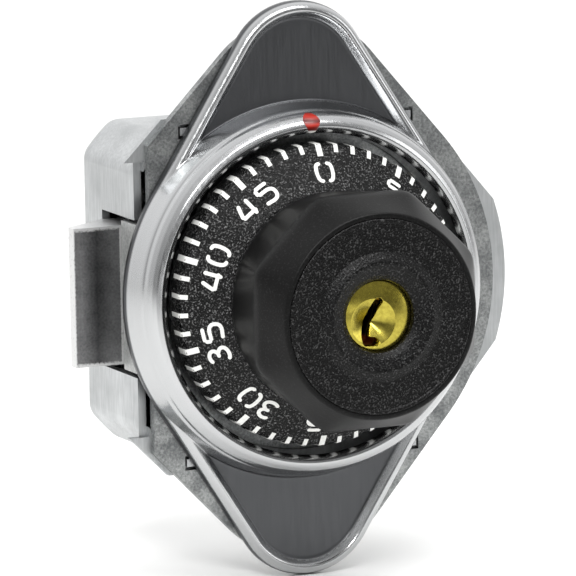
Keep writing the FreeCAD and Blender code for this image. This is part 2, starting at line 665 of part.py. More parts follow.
def dial():
    owner = body("dial_turned")
    turn(owner, "dial_form", [
        ("0", "-hub_back"), ("hub_radius", "-hub_back"), ("hub_radius", "-(dial_front + dial_wall)"),
        ("dial_radius - dial_wall", "-(dial_front - dial_wall / 2)"),
        ("dial_radius - dial_wall", "-(dial_front - dial_skirt)"),
        ("dial_radius", "-(dial_front - dial_skirt)"), ("dial_radius", "-dial_front"),
        ("knob_foot", "-knob_foot_out"), ("knob_corner", "-knob_grip_out"),
        ("knob_face", "-(knob_face_out - cap_thick / 2)"), ("knob_face - cap_thick / 4", "-knob_face_out"),
        ("0", "-knob_face_out")])
    lower = loft("grip_flare", [octagon("grip_foot", "knob_foot", "-knob_foot_out"),
                                octagon("grip_wide", "knob_flat", "-knob_grip_out")])
    upper = loft("grip_taper", [octagon("grip_wide_end", "knob_flat", "-knob_grip_out"),
                                octagon("grip_end", "knob_face", "-knob_face_out")])
    plain = rod("dial_zone", "2 * dial_radius", ("-knob_foot_out", "0"))
    shaped = common("dial_shaped", [owner, fuse("grip_envelope", [lower, upper, plain])])
    hollows = [rod("cap_seat", f"{CAP_RADIUS} + seat", ("-2 * knob_face_out", "-(knob_face_out - cap_thick)")),
               rod("shell_seat", "shell_radius + seat", ("-knob_face_out", "-plug_back")),
               box("tower_seat", ("-(tower_wide / 2 + seat)", "tower_wide / 2 + seat"),
                   ("-(knob_face_out - cap_thick)", "-plug_back"), ("0", "tower_high + seat")),
               rod("spindle_seat", "spindle_radius + seat", ("-(plug_back + seat)", "0"))]
    piece("dial", cut("dial", shaped, fuse("dial_hollows", hollows)))


def knob_cap():
    owner = body("knob_cap")
    back = "-(knob_face_out - cap_thick + seat)"
    top = "-(knob_face_out + collar_high)"
    turn(owner, "cap_form", [("plug_radius + free", back), (CAP_RADIUS, back), (CAP_RADIUS, "-knob_face_out"),
                             ("collar_radius", "-knob_face_out"), ("collar_top", top), ("mouth_radius", top)])
    piece("knob_cap", owner)


# Key cylinder in the knob

def cylinder_shell():
    span = ("-shell_front", "-plug_back")
    barrel = rod("shell_barrel", "shell_radius", span)
    tower = box("shell_tower", ("-tower_wide / 2", "tower_wide / 2"), span, ("0", "tower_high"))
    bores = [rod("shell_bore", "plug_radius + running", span)]
    bores += [stake(f"pin_well_{i}", "pin_radius + running", ("plug_radius", "tower_high - sheet"), y=place)
              for i, place in enumerate(PIN_PLACES, start=1)]
    piece("cylinder_shell", cut("cylinder_shell", fuse("shell_solid", [barrel, tower]), fuse("shell_bores", bores)))


def key_plug():
    core = rod("plug_core", "plug_radius", ("-plug_front", "-plug_back"))
    collar = rod("plug_collar_disc", "plug_collar",
                 ("-(knob_face_out - cap_thick - 2 * seat)", "-(shell_front + seat)"))
    dome = put(bind(doc.addObject("Part::Sphere", "plug_dome"), Radius="3 * plug_radius"),
               y="3 * plug_radius - plug_front")
    domed = common("plug_domed", [fuse("plug_blank", [core, collar]), dome])
    long = ("-2 * plug_front", "-(plug_back + tail_slot_deep + free)")
    upper = box("keyway_upper", ("(keyway_step - keyway_wide) / 2", "(keyway_step + keyway_wide) / 2"),
                long, ("0", "keyway_top"))
    middle = box("keyway_middle", ("-(keyway_step + keyway_wide) / 2", "(keyway_step + keyway_wide) / 2"),
                 long, ("-keyway_wide / 2", "keyway_wide / 2"))
    lower = box("keyway_lower", ("-(keyway_step + keyway_wide) / 2", "(keyway_wide - keyway_step) / 2"),
                long, ("-keyway_bottom", "0"))
    wells = [stake(f"plug_well_{i}", "pin_radius + running", ("key_cut", "2 * plug_radius"), y=place)
             for i, place in enumerate(PIN_PLACES, start=1)]
    slot = box("tail_slot", ("-(blade_wide / 2 + seat)", "blade_wide / 2 + seat"),
               ("-(plug_back + tail_slot_deep)", "-plug_back"), ("-(blade_thick / 2 + seat)", "blade_thick / 2 + seat"))
    piece("key_plug", cut("key_plug", domed, fuse("plug_cuts", [upper, middle, lower, slot] + wells)))


def tumbler_pins():
    crown = "sqrt(plug_radius * plug_radius - pin_radius * pin_radius)"
    foot = "plug_radius + running"
    spring_foot = f"{foot} + driver_pin_long + spring_wire + running"
    spring_high = f"tower_high - sheet - spring_wire - running - ({spring_foot})"
    key_pins, driver_pins, springs = [], [], []
    for i, place in enumerate(PIN_PLACES, start=1):
        key_pins.append(stake(f"key_pin_{i}", "pin_radius", ("key_cut + running", crown), y=place))
        driver_pins.append(stake(f"driver_pin_{i}", "pin_radius", (foot, f"{foot} + driver_pin_long"), y=place))
        spring = coil(f"pin_coil_{i}", "pin_radius - 2 * spring_wire", "spring_wire", "4 * spring_wire", spring_high)
        springs.append(put(spring, y=place, z=spring_foot))
    piece("key_pins", group("key_pins", key_pins))
    piece("driver_pins", group("driver_pins", driver_pins))
    piece("pin_springs", group("pin_springs", springs))


def tail_and_slide():
    """The tail ends in a crank; its pin moves the slide out of the spindle when the key is turned."""
    disc_back = "slide_front - running"
    disc_front = "slide_front - running - crank_thick"
    blade = box("tail_blade", ("-blade_wide / 2", "blade_wide / 2"),
                ("-(plug_back + tail_slot_deep - seat)", disc_back), ("-blade_thick / 2", "blade_thick / 2"))
    disc = rod("crank_disc", "spindle_bore - running", (disc_front, disc_back))
    crank = rod("crank", "crank_pin", (disc_front, "slide_front + slide_thick - running"),
                x="-crank_out * cos(45)", z="crank_out * sin(45)")
    piece("tailpiece", fuse("tailpiece", [blade, disc, crank]))
    span = ("slide_front", "slide_front + slide_thick")
    shoulder = f"sqrt(spindle_radius * spindle_radius - slide_half * slide_half) - {SLIDE_THROW}"
    bar = box("slide_bar", ("-spindle_radius", shoulder), span, ("-slide_half", "slide_half"))
    nose = box("slide_nose_bar", ("0", "spindle_radius"), span, ("-slide_nose", "slide_nose"))
    ends = rod("slide_ends", "spindle_radius - running", span)
    slot = box("slide_slot", ("-(crank_out * cos(45) + crank_pin + running)", "crank_pin + running - crank_out * cos(45)"),
               span, ("crank_out * cos(45) - crank_pin - 2 * running", "crank_out + crank_pin + 2 * running"))
    piece("key_slide", cut("key_slide", common("slide_rounded", [fuse("slide_blank", [bar, nose]), ends]), slot))
    piece("slide_keeper", rod("slide_keeper", "spindle_radius", (SPINDLE_BACK, f"{SPINDLE_BACK} + keeper_thick")))


# Spindle, bushing and wheel pack

def spindle():
    tube = rod("spindle_tube", "spindle_radius", ("-plug_back", SPINDLE_BACK))
    bore = rod("spindle_through", "spindle_bore", ("-(plug_back + free)", SPINDLE_BACK))
    groove = cut("clip_groove", rod("groove_outer", "2 * spindle_radius", clip_span("running")),
                 rod("groove_inner", "spindle_radius - clip_sunk", clip_span("2 * running")))
    way = box("slide_way", ("-2 * spindle_radius", "2 * spindle_radius"), ("slide_front - running", SPINDLE_BACK),
              ("-(slide_half + running)", "slide_half + running"))
    piece("spindle", cut("spindle", tube, fuse("spindle_cuts", [bore, groove, way])))


def clip_span(margin):
    """Where the clip sits behind the driver, widened by a margin."""
    front = f"{DRIVER_BACK} + 2 * running"
    return f"{front} - ({margin})", f"{front} + clip_thick + ({margin})"


def spindle_clip():
    ring = rod("clip_ring", "clip_radius", clip_span("0"))
    hole = rod("clip_hole", "spindle_radius - clip_sunk + seat", clip_span("free"))
    gap = box("clip_gap", ("-clip_radius / 3", "clip_radius / 3"), clip_span("free"), ("-2 * clip_radius", "0"))
    piece("spindle_clip", cut("spindle_clip", ring, fuse("clip_cuts", [hole, gap])))


def bushing_and_washer():
    inner, flange = "spindle_radius + running", "hub_radius - 2 * running"
    end = f"{WHEEL_FRONTS['driver_cam']} - free"
    owner = body("spindle_bushing")
    turn(owner, "bushing_form", [(inner, "-bushing_lip"), (flange, "-bushing_lip"), (flange, "0"),
                                 ("bushing_radius", "0"), ("bushing_radius", end), (inner, end)])
    piece("spindle_bushing", owner)
    ring = body("dial_washer")
    front, back = "-(hub_back - running)", "-(bushing_lip + running)"
    turn(ring, "washer_form", [(inner, front), ("hub_radius - running", front), ("hub_radius - running", back),
                               (inner, back)])
    piece("dial_washer", ring)


def wheels():
    """Three gated discs; each drive pin lies against its neighbour's, so that the pack turns as one."""
    beside = 2 * math.degrees(math.asin(number("fly_radius + running") / number("fly_out")))
    order = list(WHEEL_FRONTS)
    for name, front in WHEEL_FRONTS.items():
        back = f"{front} + wheel_thick"
        owner = body(f"{name}_disc")
        outline = circle(sketch(owner, f"{name}_outline", back), "wheel_radius")
        circle(outline, "spindle_radius + seat" if name == "driver_cam" else "bushing_radius + running")
        slab(owner, f"{name}_blank", outline, "wheel_thick")
        gate = sketch(owner, f"{name}_gate", front)
        gate.AttachmentOffset = Placement(Vector(), Rotation(Vector(0, 0, 1), GATE_ANGLES[name]))
        bind(gate, AttachmentOffset__Base__z=f"-({front})")
        oblong(gate, "1.5 * wheel_radius - gate_deep", 0, "wheel_radius", "gate_wide")
        sink(owner, f"{name}_gate_cut", gate, "wheel_thick")
        parts = [owner]
        if name in FLY_ANGLES:
            parts.append(drive_pin(f"{name}_fly", FLY_ANGLES[name],
                                   (f"{front} - wheel_gap + running", f"{front} + fly_sunk")))
        if name != order[-1]:
            after = order[order.index(name) + 1]
            parts.append(drive_pin(f"{name}_stop", FLY_ANGLES[after] + beside,
                                   (f"{back} - fly_sunk", f"{back} + wheel_gap - running")))
        piece(name, fuse(f"{name}_whole", parts))
    spacers = []
    for i, front in enumerate(WHEEL_FRONTS.values(), start=1):
        span = (f"{front} - wheel_gap + running", f"{front} - running")
        spacers.append(cut(f"spacer_{i}", rod(f"spacer_disc_{i}", "spacer_radius", span),
                           rod(f"spacer_bore_{i}", "bushing_radius + seat", span)))
    piece("wheel_spacers", group("wheel_spacers", spacers))


def drive_pin(name, degrees, span):
    return rod(name, "fly_radius", span, x=f"fly_out * cos({degrees})", z=f"fly_out * sin({degrees})")


# Inner frame on its standoffs

def inner_frame():
    span = (f"{FRAME_FRONT} - free", f"{FRAME_BACK} + free")
    parts = [box("frame_blank", (f"-({FRAME_LEFT})", FRAME_RIGHT), (FRAME_FRONT, FRAME_BACK),
                 (f"-({FRAME_HALF})", FRAME_HALF))]
    rail_side = "bolt_half + running"
    for i, (low, high) in enumerate([(rail_side, f"{rail_side} + frame_thick"),
                                     (f"-({rail_side} + frame_thick)", f"-({rail_side})")], start=1):
        parts.append(box(f"rail_{i}", (f"-({FRAME_LEFT})", f"rail_long - {FRAME_LEFT}"),
                         (f"{FRAME_FRONT} - rail_high", FRAME_BACK), (low, high)))
    for i, (low, high) in enumerate([("arm_inner", "bolt_half"), ("-bolt_half", "-arm_inner")], start=1):
        parts.append(box(f"spring_seat_{i}", ("spring_seat_out", "spring_seat_out + frame_thick"),
                         ("spring_deep - spring_radius - 2 * bolt_wire", FRAME_BACK), (low, high)))
    holes = [rod("frame_hole", "spindle_radius", span)]
    holes += [rod(f"rivet_hole_{i}", "spigot_radius + seat", span, x=across, z=up)
              for i, (across, up) in enumerate(STANDOFF_PLACES, start=1)]
    piece("inner_frame", cut("inner_frame", fuse("frame_solid", parts), fuse("frame_holes", holes)))


def standoffs():
    """Posts whose ends pass through plate and frame; the frame's end carries a riveted head."""
    posts = []
    for i, (across, up) in enumerate(STANDOFF_PLACES, start=1):
        place = {"x": across, "z": up}
        posts.append(fuse(f"standoff_{i}", [
            rod(f"standoff_post_{i}", "standoff_radius", (PLATE_BACK, FRAME_FRONT), **place),
            rod(f"standoff_core_{i}", "spigot_radius", ("running", f"{FRAME_BACK} + rivet_thick"), **place),
            rod(f"standoff_head_{i}", "rivet_head", (FRAME_BACK, f"{FRAME_BACK} + rivet_thick"), **place)]))
    piece("standoffs", group("standoffs", posts))


# Bolt, its springs, and the fence lever that it carries

def bolt():
    tip = f"-({CASE_LEFT} + bolt_out)"
    owner = body("bolt_head")
    plan = polygon(sketch(owner, "bolt_plan"), [
        (tip, "bolt_front"), (f"-{BOLT_HEEL}", "bolt_front"), (f"-{BOLT_HEEL}", BOLT_BACK),
        (f"-{CASE_LEFT}", BOLT_BACK), (tip, "bolt_front + bolt_nose")])
    feature(owner, "Pad", "bolt_block", plan, "2 * bolt_half").Midplane = True
    parts = [owner]
    for i, (low, high, middle) in enumerate([("arm_inner", "bolt_half", ARM_MIDDLE),
                                             ("-bolt_half", "-arm_inner", f"-({ARM_MIDDLE})")], start=1):
        parts.append(box(f"bolt_arm_{i}", (f"-({BOLT_HEEL} + sheet)", "-arm_end"), ("bolt_front", BOLT_BACK),
                         (low, high)))
        peg = doc.addObject("Part::Cylinder", f"spring_peg_{i}")
        peg.Placement = Placement(Vector(), Rotation(Vector(0, 1, 0), 90))
        put(bind(peg, Radius="peg_radius", Height="peg_long + sheet"), "-(arm_end + sheet)", "spring_deep", middle)
        parts.append(peg)
    parts.append(box("lever_ear", (f"-{EAR_LEFT}", f"-{EAR_RIGHT}"), (f"{LEVER_BACK} + running", BOLT_BACK),
                     ("bolt_half - sheet", EAR_TOP)))
    parts.append(box("drawing_lug", ("-(arm_end + sheet / 2)", "lug_wide - arm_end - sheet / 2"),
                     ("slide_front", "slide_front + slide_thick"), ("-bolt_half", "-lug_top")))
    hole = rod("pivot_hole", "pivot_radius + seat", (LEVER_BACK, BOLT_BACK), x=f"-{PIVOT_OUT}", z=PIVOT_UP)
    piece("bolt", cut("bolt", fuse("bolt_solid", parts), hole))


def bolt_springs():
    gap = "bolt_wire + running"
    for name, up in (("bolt_spring_upper", ARM_MIDDLE), ("bolt_spring_lower", f"-({ARM_MIDDLE})")):
        spring = coil(name, "spring_radius", "bolt_wire", "5 * bolt_wire",
                      f"spring_seat_out + arm_end - 2 * ({gap})")
        spring.Placement = Placement(Vector(), Rotation(Vector(0, 1, 0), 90))
        piece(name, put(spring, x=f"{gap} - arm_end", y="spring_deep", z=up))


def fence_lever():
    place = {"x": f"-{PIVOT_OUT}", "z": PIVOT_UP}
    under, over = f"{PIVOT_UP} - fence_high / 2", f"{PIVOT_UP} + lever_half"
    eye = rod("lever_eye", "lever_half", ("bolt_front", LEVER_BACK), **place)
    arm = box("lever_arm", (f"-{PIVOT_OUT}", "fence_wide"), ("bolt_front", LEVER_BACK), (under, over))
    fence = box("lever_fence", ("0", "fence_wide"), (f"{PLATE_BACK} + free", LEVER_BACK),
                (under, f"{under} + fence_high"))
    hole = rod("lever_hole", "pivot_radius + running", ("bolt_front - free", f"{LEVER_BACK} + free"), **place)
    piece("fence_lever", cut("fence_lever", fuse("lever_solid", [eye, arm, fence]), hole))
    head_back = "bolt_front - running"
    shank = rod("pivot_shank", "pivot_radius", (f"{head_back} - rivet_thick", BOLT_BACK), **place)
    head = rod("pivot_head", "rivet_head", (f"{head_back} - rivet_thick", head_back), **place)
    piece("lever_pivot", fuse("lever_pivot", [shank, head]))


def lever_spring():
    """A leaf riveted to the ear's top; its free end bears on the lever's upper edge."""
    low, touch = EAR_TOP, f"{PIVOT_UP} + lever_half"
    owner = body("leaf_strip")
    plane = sketch(owner, "leaf_outline", "bolt_front + 2 * bolt_thick / 3")
    under = [(f"sheet - {EAR_LEFT}", low), (f"-{EAR_RIGHT}", low), ("-(leaf_end + sheet)", touch),
             ("-leaf_end", f"{touch} + sheet")]
    polygon(plane, under + [(across, f"{up} + leaf_thick") for across, up in reversed(under)])
    slab(owner, "leaf_blank", plane, "2 * bolt_thick / 3 - 2 * running")
    piece("lever_spring", owner)


def build():
    mounting_plate()
    bezel()
    index_pointer()
    case()
    bolt_guide()
    dial()
    knob_cap()
    cylinder_shell()
    key_plug()
    tumbler_pins()
    tail_and_slide()
    spindle()
    spindle_clip()
    bushing_and_washer()
    wheels()
    inner_frame()
    standoffs()
    bolt()
    bolt_springs()
    fence_lever()
    lever_spring()
    doc.recompute()


build()

for item in doc.Objects:
    if "Invalid" in item.State or "Error" in item.State:
        raise RuntimeError(f"{item.Label} did not compute: {item.State}")
for name, item in pieces.items():
    if item.Shape.isNull() or not item.Shape.isValid() or not item.Shape.Solids:
        raise RuntimeError(f"{name} has no sound solid")

os.makedirs("parts", exist_ok=True)
for name, item in pieces.items():
    item.Shape.exportStep(f"parts/{name}.step")
    span = item.Shape.optimalBoundingBox(False)
    print(f"{name}: {len(item.Shape.Solids)} solid(s), {item.Shape.Volume / 1000:.3f} cm3, "
          f"X {span.XMin:.2f}..{span.XMax:.2f} Y {span.YMin:.2f}..{span.YMax:.2f} "
          f"Z {span.ZMin:.2f}..{span.ZMax:.2f}")
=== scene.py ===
# %% [markdown]
# A locker's built-in combination lock, dressed over its CAD model.
# Each cell makes one piece or one finish of the lock.  A surface is a grid of points
# worked out with numpy from two parameters, and a finish is a small net of shader nodes.

# %% Load the CAD model
import math
import bmesh
import bpy
import numpy as np
from mathutils import Matrix, Vector


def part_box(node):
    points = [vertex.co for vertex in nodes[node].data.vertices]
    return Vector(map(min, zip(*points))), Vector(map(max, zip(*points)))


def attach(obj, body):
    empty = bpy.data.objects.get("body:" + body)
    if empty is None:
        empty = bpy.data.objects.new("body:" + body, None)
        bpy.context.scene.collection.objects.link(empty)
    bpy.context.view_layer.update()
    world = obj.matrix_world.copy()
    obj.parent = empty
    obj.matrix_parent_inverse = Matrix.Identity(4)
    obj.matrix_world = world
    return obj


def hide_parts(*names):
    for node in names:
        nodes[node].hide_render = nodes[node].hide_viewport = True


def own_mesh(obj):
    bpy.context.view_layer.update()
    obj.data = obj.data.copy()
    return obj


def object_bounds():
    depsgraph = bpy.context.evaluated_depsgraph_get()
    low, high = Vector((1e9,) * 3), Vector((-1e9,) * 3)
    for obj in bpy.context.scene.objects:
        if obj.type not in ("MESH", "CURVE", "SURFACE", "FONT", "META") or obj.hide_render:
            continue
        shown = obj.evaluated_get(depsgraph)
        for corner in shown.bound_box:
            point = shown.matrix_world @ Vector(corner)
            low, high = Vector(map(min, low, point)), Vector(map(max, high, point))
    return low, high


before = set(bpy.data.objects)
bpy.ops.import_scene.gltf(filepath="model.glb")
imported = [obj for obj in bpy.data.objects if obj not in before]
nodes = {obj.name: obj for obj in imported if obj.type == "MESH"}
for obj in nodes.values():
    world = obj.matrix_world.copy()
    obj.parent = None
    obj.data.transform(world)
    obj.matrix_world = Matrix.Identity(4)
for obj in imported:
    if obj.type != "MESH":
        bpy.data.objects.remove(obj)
cad_box = [list(corner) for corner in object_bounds()]
print("CAD nodes:", len(nodes), "CAD box:", cad_box)

# %% [markdown]
# The camera comes first.  The photograph was taken with a long lens from the dial's left, a
# little above it, so its lines hardly converge.  Azimuth, elevation and roll came from
# matching the circles of the dial and the ring, and the distance from their sizes.  The
# Standard view keeps the strong contrast of the print, which a filmic view would soften.

# %% Camera at the photograph's angle
AZIMUTH, ELEVATION, ROLL = (math.radians(angle) for angle in (23.18, 9.18, -1.11))
LENS_MM = 562.5
OFFSET_MM = np.array([4.94, 1.12, 1416.19])
DIAL_RIM_MM = np.array([0.0, -8.0, 0.0])

ahead = np.array([math.sin(AZIMUTH) * math.cos(ELEVATION), math.cos(AZIMUTH) * math.cos(ELEVATION),
                  -math.sin(ELEVATION)])
level = np.cross(ahead, [0.0, 0.0, 1.0])
level /= np.linalg.norm(level)
upward = np.cross(level, ahead)
right = math.cos(ROLL) * level + math.sin(ROLL) * upward
top = -math.sin(ROLL) * level + math.cos(ROLL) * upward
axes = np.array([right, -top, ahead])
place = DIAL_RIM_MM - axes.T @ OFFSET_MM

camera = bpy.data.objects.new("camera", bpy.data.cameras.new("camera"))
bpy.context.scene.collection.objects.link(camera)
camera.data.lens = LENS_MM
camera.data.sensor_width = 36.0
camera.data.clip_start = 0.05
camera.data.clip_end = 30.0
pose = np.eye(4)
pose[:3, :3] = np.array([right, top, -ahead]).T
pose[:3, 3] = place / 1000
camera.matrix_world = Matrix(pose.tolist())
bpy.context.scene.camera = camera
bpy.context.scene.view_settings.view_transform = "Standard"
print("camera stands at", np.round(place), "mm")

# %% [markdown]
# Every new piece goes through one function.  It takes a grid of points in millimetres, joins
# neighbours with four-sided faces, closes the grid where it returns on itself, merges the
# points of a pole, and turns the faces outward if the volume they enclose comes out negative.

# %% From grids of points to a closed mesh
MM = 0.001


def grid_faces(rows, columns, start, round_rows, round_columns):
    """Four-sided faces of a grid: each joins (i, j), (i+1, j), (i+1, j+1) and (i, j+1)."""
    i = np.arange(rows if round_rows else rows - 1)[:, None]
    j = np.arange(columns if round_columns else columns - 1)[None, :]
    after_i, after_j = (i + 1) % rows, (j + 1) % columns
    corners = [i * columns + j, after_i * columns + j, after_i * columns + after_j, i * columns + after_j]
    return start + np.stack(corners, axis=-1).reshape(-1, 4)


def enclosed(points, faces):
    """Volume inside closed faces: the sum over triangles of a . (b x c) / 6."""
    triangles = np.concatenate([faces[:, [0, 1, 2]], faces[:, [0, 2, 3]]])
    a, b, c = (points[triangles[:, k]] for k in range(3))
    return float(np.einsum("ij,ij->i", a, np.cross(b, c)).sum() / 6)


def make_piece(name, grids, body, material, round_rows=True, round_columns=True, smooth=True):
    """A mesh from one or more (rows, columns, 3) grids in millimetres, riding on a CAD body."""
    points, faces, start = [], [], 0
    for grid in grids:
        rows, columns = grid.shape[:2]
        points.append(grid.reshape(-1, 3))
        faces.append(grid_faces(rows, columns, start, round_rows, round_columns))
        start += rows * columns
    points, faces = np.concatenate(points), np.concatenate(faces)
    if enclosed(points, faces) < 0:
        faces = faces[:, ::-1]
    mesh = bpy.data.meshes.new(name)
    mesh.from_pydata((points * MM).tolist(), [], faces.tolist())
    joined = bmesh.new()
    joined.from_mesh(mesh)
    bmesh.ops.remove_doubles(joined, verts=joined.verts, dist=1e-7)
    joined.to_mesh(mesh)
    joined.free()
    mesh.polygons.foreach_set("use_smooth", [smooth] * len(mesh.polygons))
    mesh.materials.append(material)
    mesh.validate()
    piece = bpy.data.objects.new(name, mesh)
    bpy.context.scene.collection.objects.link(piece)
    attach(piece, body)
    print(name, "has", len(mesh.polygons), "faces")
    return piece


# %% [markdown]
# Turned and pressed parts start from a profile of a few corners.  Real edges are never quite
# sharp, so each corner is swapped for a short curve, and the curve is what catches the light.

# %% Profiles with softened corners
def soften(corners, radius, step, closed=True):
    """A profile through the corners, each replaced by a quadratic curve that starts and ends
    one radius away (or half the side), then walked at steps of about the given length."""
    corners = np.asarray(corners, float)
    before, after = np.roll(corners, 1, axis=0), np.roll(corners, -1, axis=0)
    radius = np.broadcast_to(np.asarray(radius, float), len(corners))[:, None]

    def toward(other):
        side = other - corners
        length = np.linalg.norm(side, axis=1, keepdims=True)
        return corners + side / length * np.minimum(radius, 0.45 * length)
    start, end = toward(before), toward(after)
    if not closed:
        start[0] = end[0] = corners[0]
        start[-1] = end[-1] = corners[-1]
    t = np.linspace(0, 1, 7)[None, :, None]
    curve = (1 - t) ** 2 * start[:, None] + 2 * t * (1 - t) * corners[:, None] + t ** 2 * end[:, None]
    curve = curve.reshape(-1, corners.shape[1])
    if closed:
        curve = np.vstack([curve, curve[:1]])
    length = np.linalg.norm(np.diff(curve, axis=0), axis=1)
    curve = curve[np.concatenate([[True], length > 1e-6])]
    length = length[length > 1e-6]
    count = np.maximum(1, np.round(length / step)).astype(int)
    walk = np.concatenate([np.linspace(k, k + 1, n, endpoint=False) for k, n in enumerate(count)])
    if not closed:
        walk = np.append(walk, len(count))
    at = np.arange(len(curve))
    return np.stack([np.interp(walk, at, curve[:, k]) for k in range(curve.shape[1])], axis=1)


def around(count):
    """Angles once round the dial's axis, from straight up, clockwise as seen from the front."""
    return np.linspace(0, 2 * math.pi, count, endpoint=False)


def turned(angle, radius, depth):
    """Points at a radius and a depth along Y: x = r sin(angle), z = r cos(angle)."""
    angle, radius, depth = np.broadcast_arrays(angle, radius, depth)
    return np.stack([radius * np.sin(angle), depth, radius * np.cos(angle)], axis=-1)


# %% [markdown]
# Colours are written as the hex values a painter would pick on a screen, and turned to the
# linear values that light is worked out in.  One small function adds a node, sets what it is
# given, and links what is already a socket.

# %% Helpers for finishes
def colour(code):
    """sRGB hex to linear: c / 12.92 when dark, otherwise ((c + 0.055) / 1.055) to the 2.4."""
    values = np.array([int(code[k:k + 2], 16) for k in (1, 3, 5)]) / 255
    linear = np.where(values <= 0.04045, values / 12.92, ((values + 0.055) / 1.055) ** 2.4)
    return (*linear.tolist(), 1.0)


def node(tree, kind, inputs=None, **settings):
    """One node of a net with its settings; an input is a value or another node's socket."""
    made = tree.nodes.new(f"ShaderNode{kind}")
    for word, value in settings.items():
        setattr(made, word, value)
    for word, value in (inputs or {}).items():
        if isinstance(value, bpy.types.NodeSocket):
            tree.links.new(value, made.inputs[word])
        else:
            made.inputs[word].default_value = value
    return made


def finish(name, **sockets):
    """A material with its Principled shader, set by socket name (underscore for a space)."""
    material = bpy.data.materials.new(name)
    material.use_nodes = True
    tree = material.node_tree
    shader = next(item for item in tree.nodes if item.type == "BSDF_PRINCIPLED")
    for word, value in sockets.items():
        shader.inputs[word.replace("_", " ")].default_value = value
    where = node(tree, "TexCoord").outputs["Object"]
    return material, tree, shader, where


def per(size_mm):
    """Texture scale whose features are about this many millimetres across."""
    return 1.0 / (size_mm * MM)


# %% [markdown]
# Most of the lock is steel or brass that was rolled, drawn or turned.  Such a surface has fine
# lines in one direction, left by the tool, which spread a reflection across them.  A noise
# pattern squeezed along the lines varies the colour and roughness a little and tilts the
# surface.  The lines are 0.2 to 0.5 mm apart: real ones are finer, but would vanish in the render.

# %% Worked metals
def worked_metal(name, light, dark, rough, lines=(1, 1, 1), size_mm=0.25, depth_mm=0.01, cloud_mm=6.0):
    """Metal between two colours: streaks squeezed along an axis, and soft clouds of tarnish."""
    material, tree, shader, where = finish(name, Metallic=1.0)
    squeezed = node(tree, "Mapping", {"Vector": where, "Scale": lines}).outputs[0]
    streak = node(tree, "TexNoise", {"Vector": squeezed, "Scale": per(size_mm), "Detail": 4.0}).outputs[0]
    cloud = node(tree, "TexNoise", {"Vector": where, "Scale": per(cloud_mm), "Detail": 3.0}).outputs[0]
    both = node(tree, "Math", {0: streak, 1: cloud}, operation="MULTIPLY").outputs[0]
    share = node(tree, "MapRange", {"Value": both, "From Min": 0.12, "From Max": 0.38}).outputs[0]
    paint = node(tree, "Mix", {0: share, 6: colour(dark), 7: colour(light)}, data_type="RGBA").outputs[2]
    tree.links.new(paint, shader.inputs["Base Color"])
    gloss = node(tree, "MapRange", {"Value": both, "From Min": 0.1, "From Max": 0.4,
                                    "To Min": rough + 0.06, "To Max": rough - 0.05}).outputs[0]
    tree.links.new(gloss, shader.inputs["Roughness"])
    tilt = node(tree, "Bump", {"Height": streak, "Strength": 0.5, "Distance": depth_mm * MM}).outputs[0]
    tree.links.new(tilt, shader.inputs["Normal"])
    return material


case_finish = worked_metal("satin_stainless_case", "#bfc1c2", "#a8aaab", 0.38, (1, 1, 0.06), 0.3, 0.004)
spring_finish = worked_metal("drawn_spring_steel", "#b9bcc0", "#7c7f84", 0.25, (1, 1, 1), 0.2, 0.004)
spindle_finish = worked_metal("turned_steel", "#c2c4c6", "#8a8d90", 0.28, (1, 12, 1), 0.5, 0.006)
post_finish = worked_metal("nickel_plated_steel", "#cfcdc6", "#96948e", 0.26, (1, 8, 1), 0.5, 0.006)
frame_finish = worked_metal("cold_rolled_steel", "#b4b6b6", "#7f8283", 0.4, (0.06, 1, 1), 0.3, 0.008)
wheel_finish = worked_metal("stamped_brass", "#cfae64", "#96783c", 0.33, (1, 1, 0.1), 0.3, 0.008)
bushing_finish = worked_metal("turned_brass", "#d4b36a", "#9c7d40", 0.27, (1, 12, 1), 0.5, 0.006)
print("worked metals:", [m.name for m in bpy.data.materials if m.use_nodes][-7:])

# %% [markdown]
# The mounting plate and the bolt's guide are zinc plated.  The zinc takes a fine frosted grain
# and clouds over in patches a few millimetres wide, so the plate looks mottled and grey.  A
# 0.45 mm noise gives the frost, a soft 5 mm noise the clouds, and both disturb the gloss.

# %% Zinc plating
def zinc(name, light, dark, metallic):
    """Frosted zinc: a grain of 0.45 mm times soft clouds sets the colour, and both the gloss."""
    material, tree, shader, where = finish(name, Metallic=metallic)
    frost = node(tree, "TexNoise", {"Vector": where, "Scale": per(0.45), "Detail": 4.0,
                                    "Roughness": 0.7}).outputs[0]
    bloom = node(tree, "TexNoise", {"Vector": where, "Scale": per(5.0), "Detail": 6.0,
                                    "Roughness": 0.65}).outputs[0]
    blend = node(tree, "Math", {0: frost, 1: bloom}, operation="MULTIPLY").outputs[0]
    share = node(tree, "MapRange", {"Value": blend, "From Min": 0.17, "From Max": 0.36}).outputs[0]
    paint = node(tree, "Mix", {0: share, 6: colour(dark), 7: colour(light)}, data_type="RGBA").outputs[2]
    tree.links.new(paint, shader.inputs["Base Color"])
    gloss = node(tree, "MapRange", {"Value": bloom, "From Min": 0.3, "From Max": 0.7,
                                    "To Min": 0.46, "To Max": 0.3}).outputs[0]
    tree.links.new(gloss, shader.inputs["Roughness"])
    tilt = node(tree, "Bump", {"Height": frost, "Strength": 0.7, "Distance": 0.03 * MM}).outputs[0]
    tree.links.new(tilt, shader.inputs["Normal"])
    return material


zinc_finish = zinc("zinc_plated_steel", "#aaacab", "#6c6e6f", 1.0)
guide_finish = zinc("matt_zinc_guide", "#b9bab9", "#8f9190", 0.35)
print("zinc finishes:", zinc_finish.name, guide_finish.name)
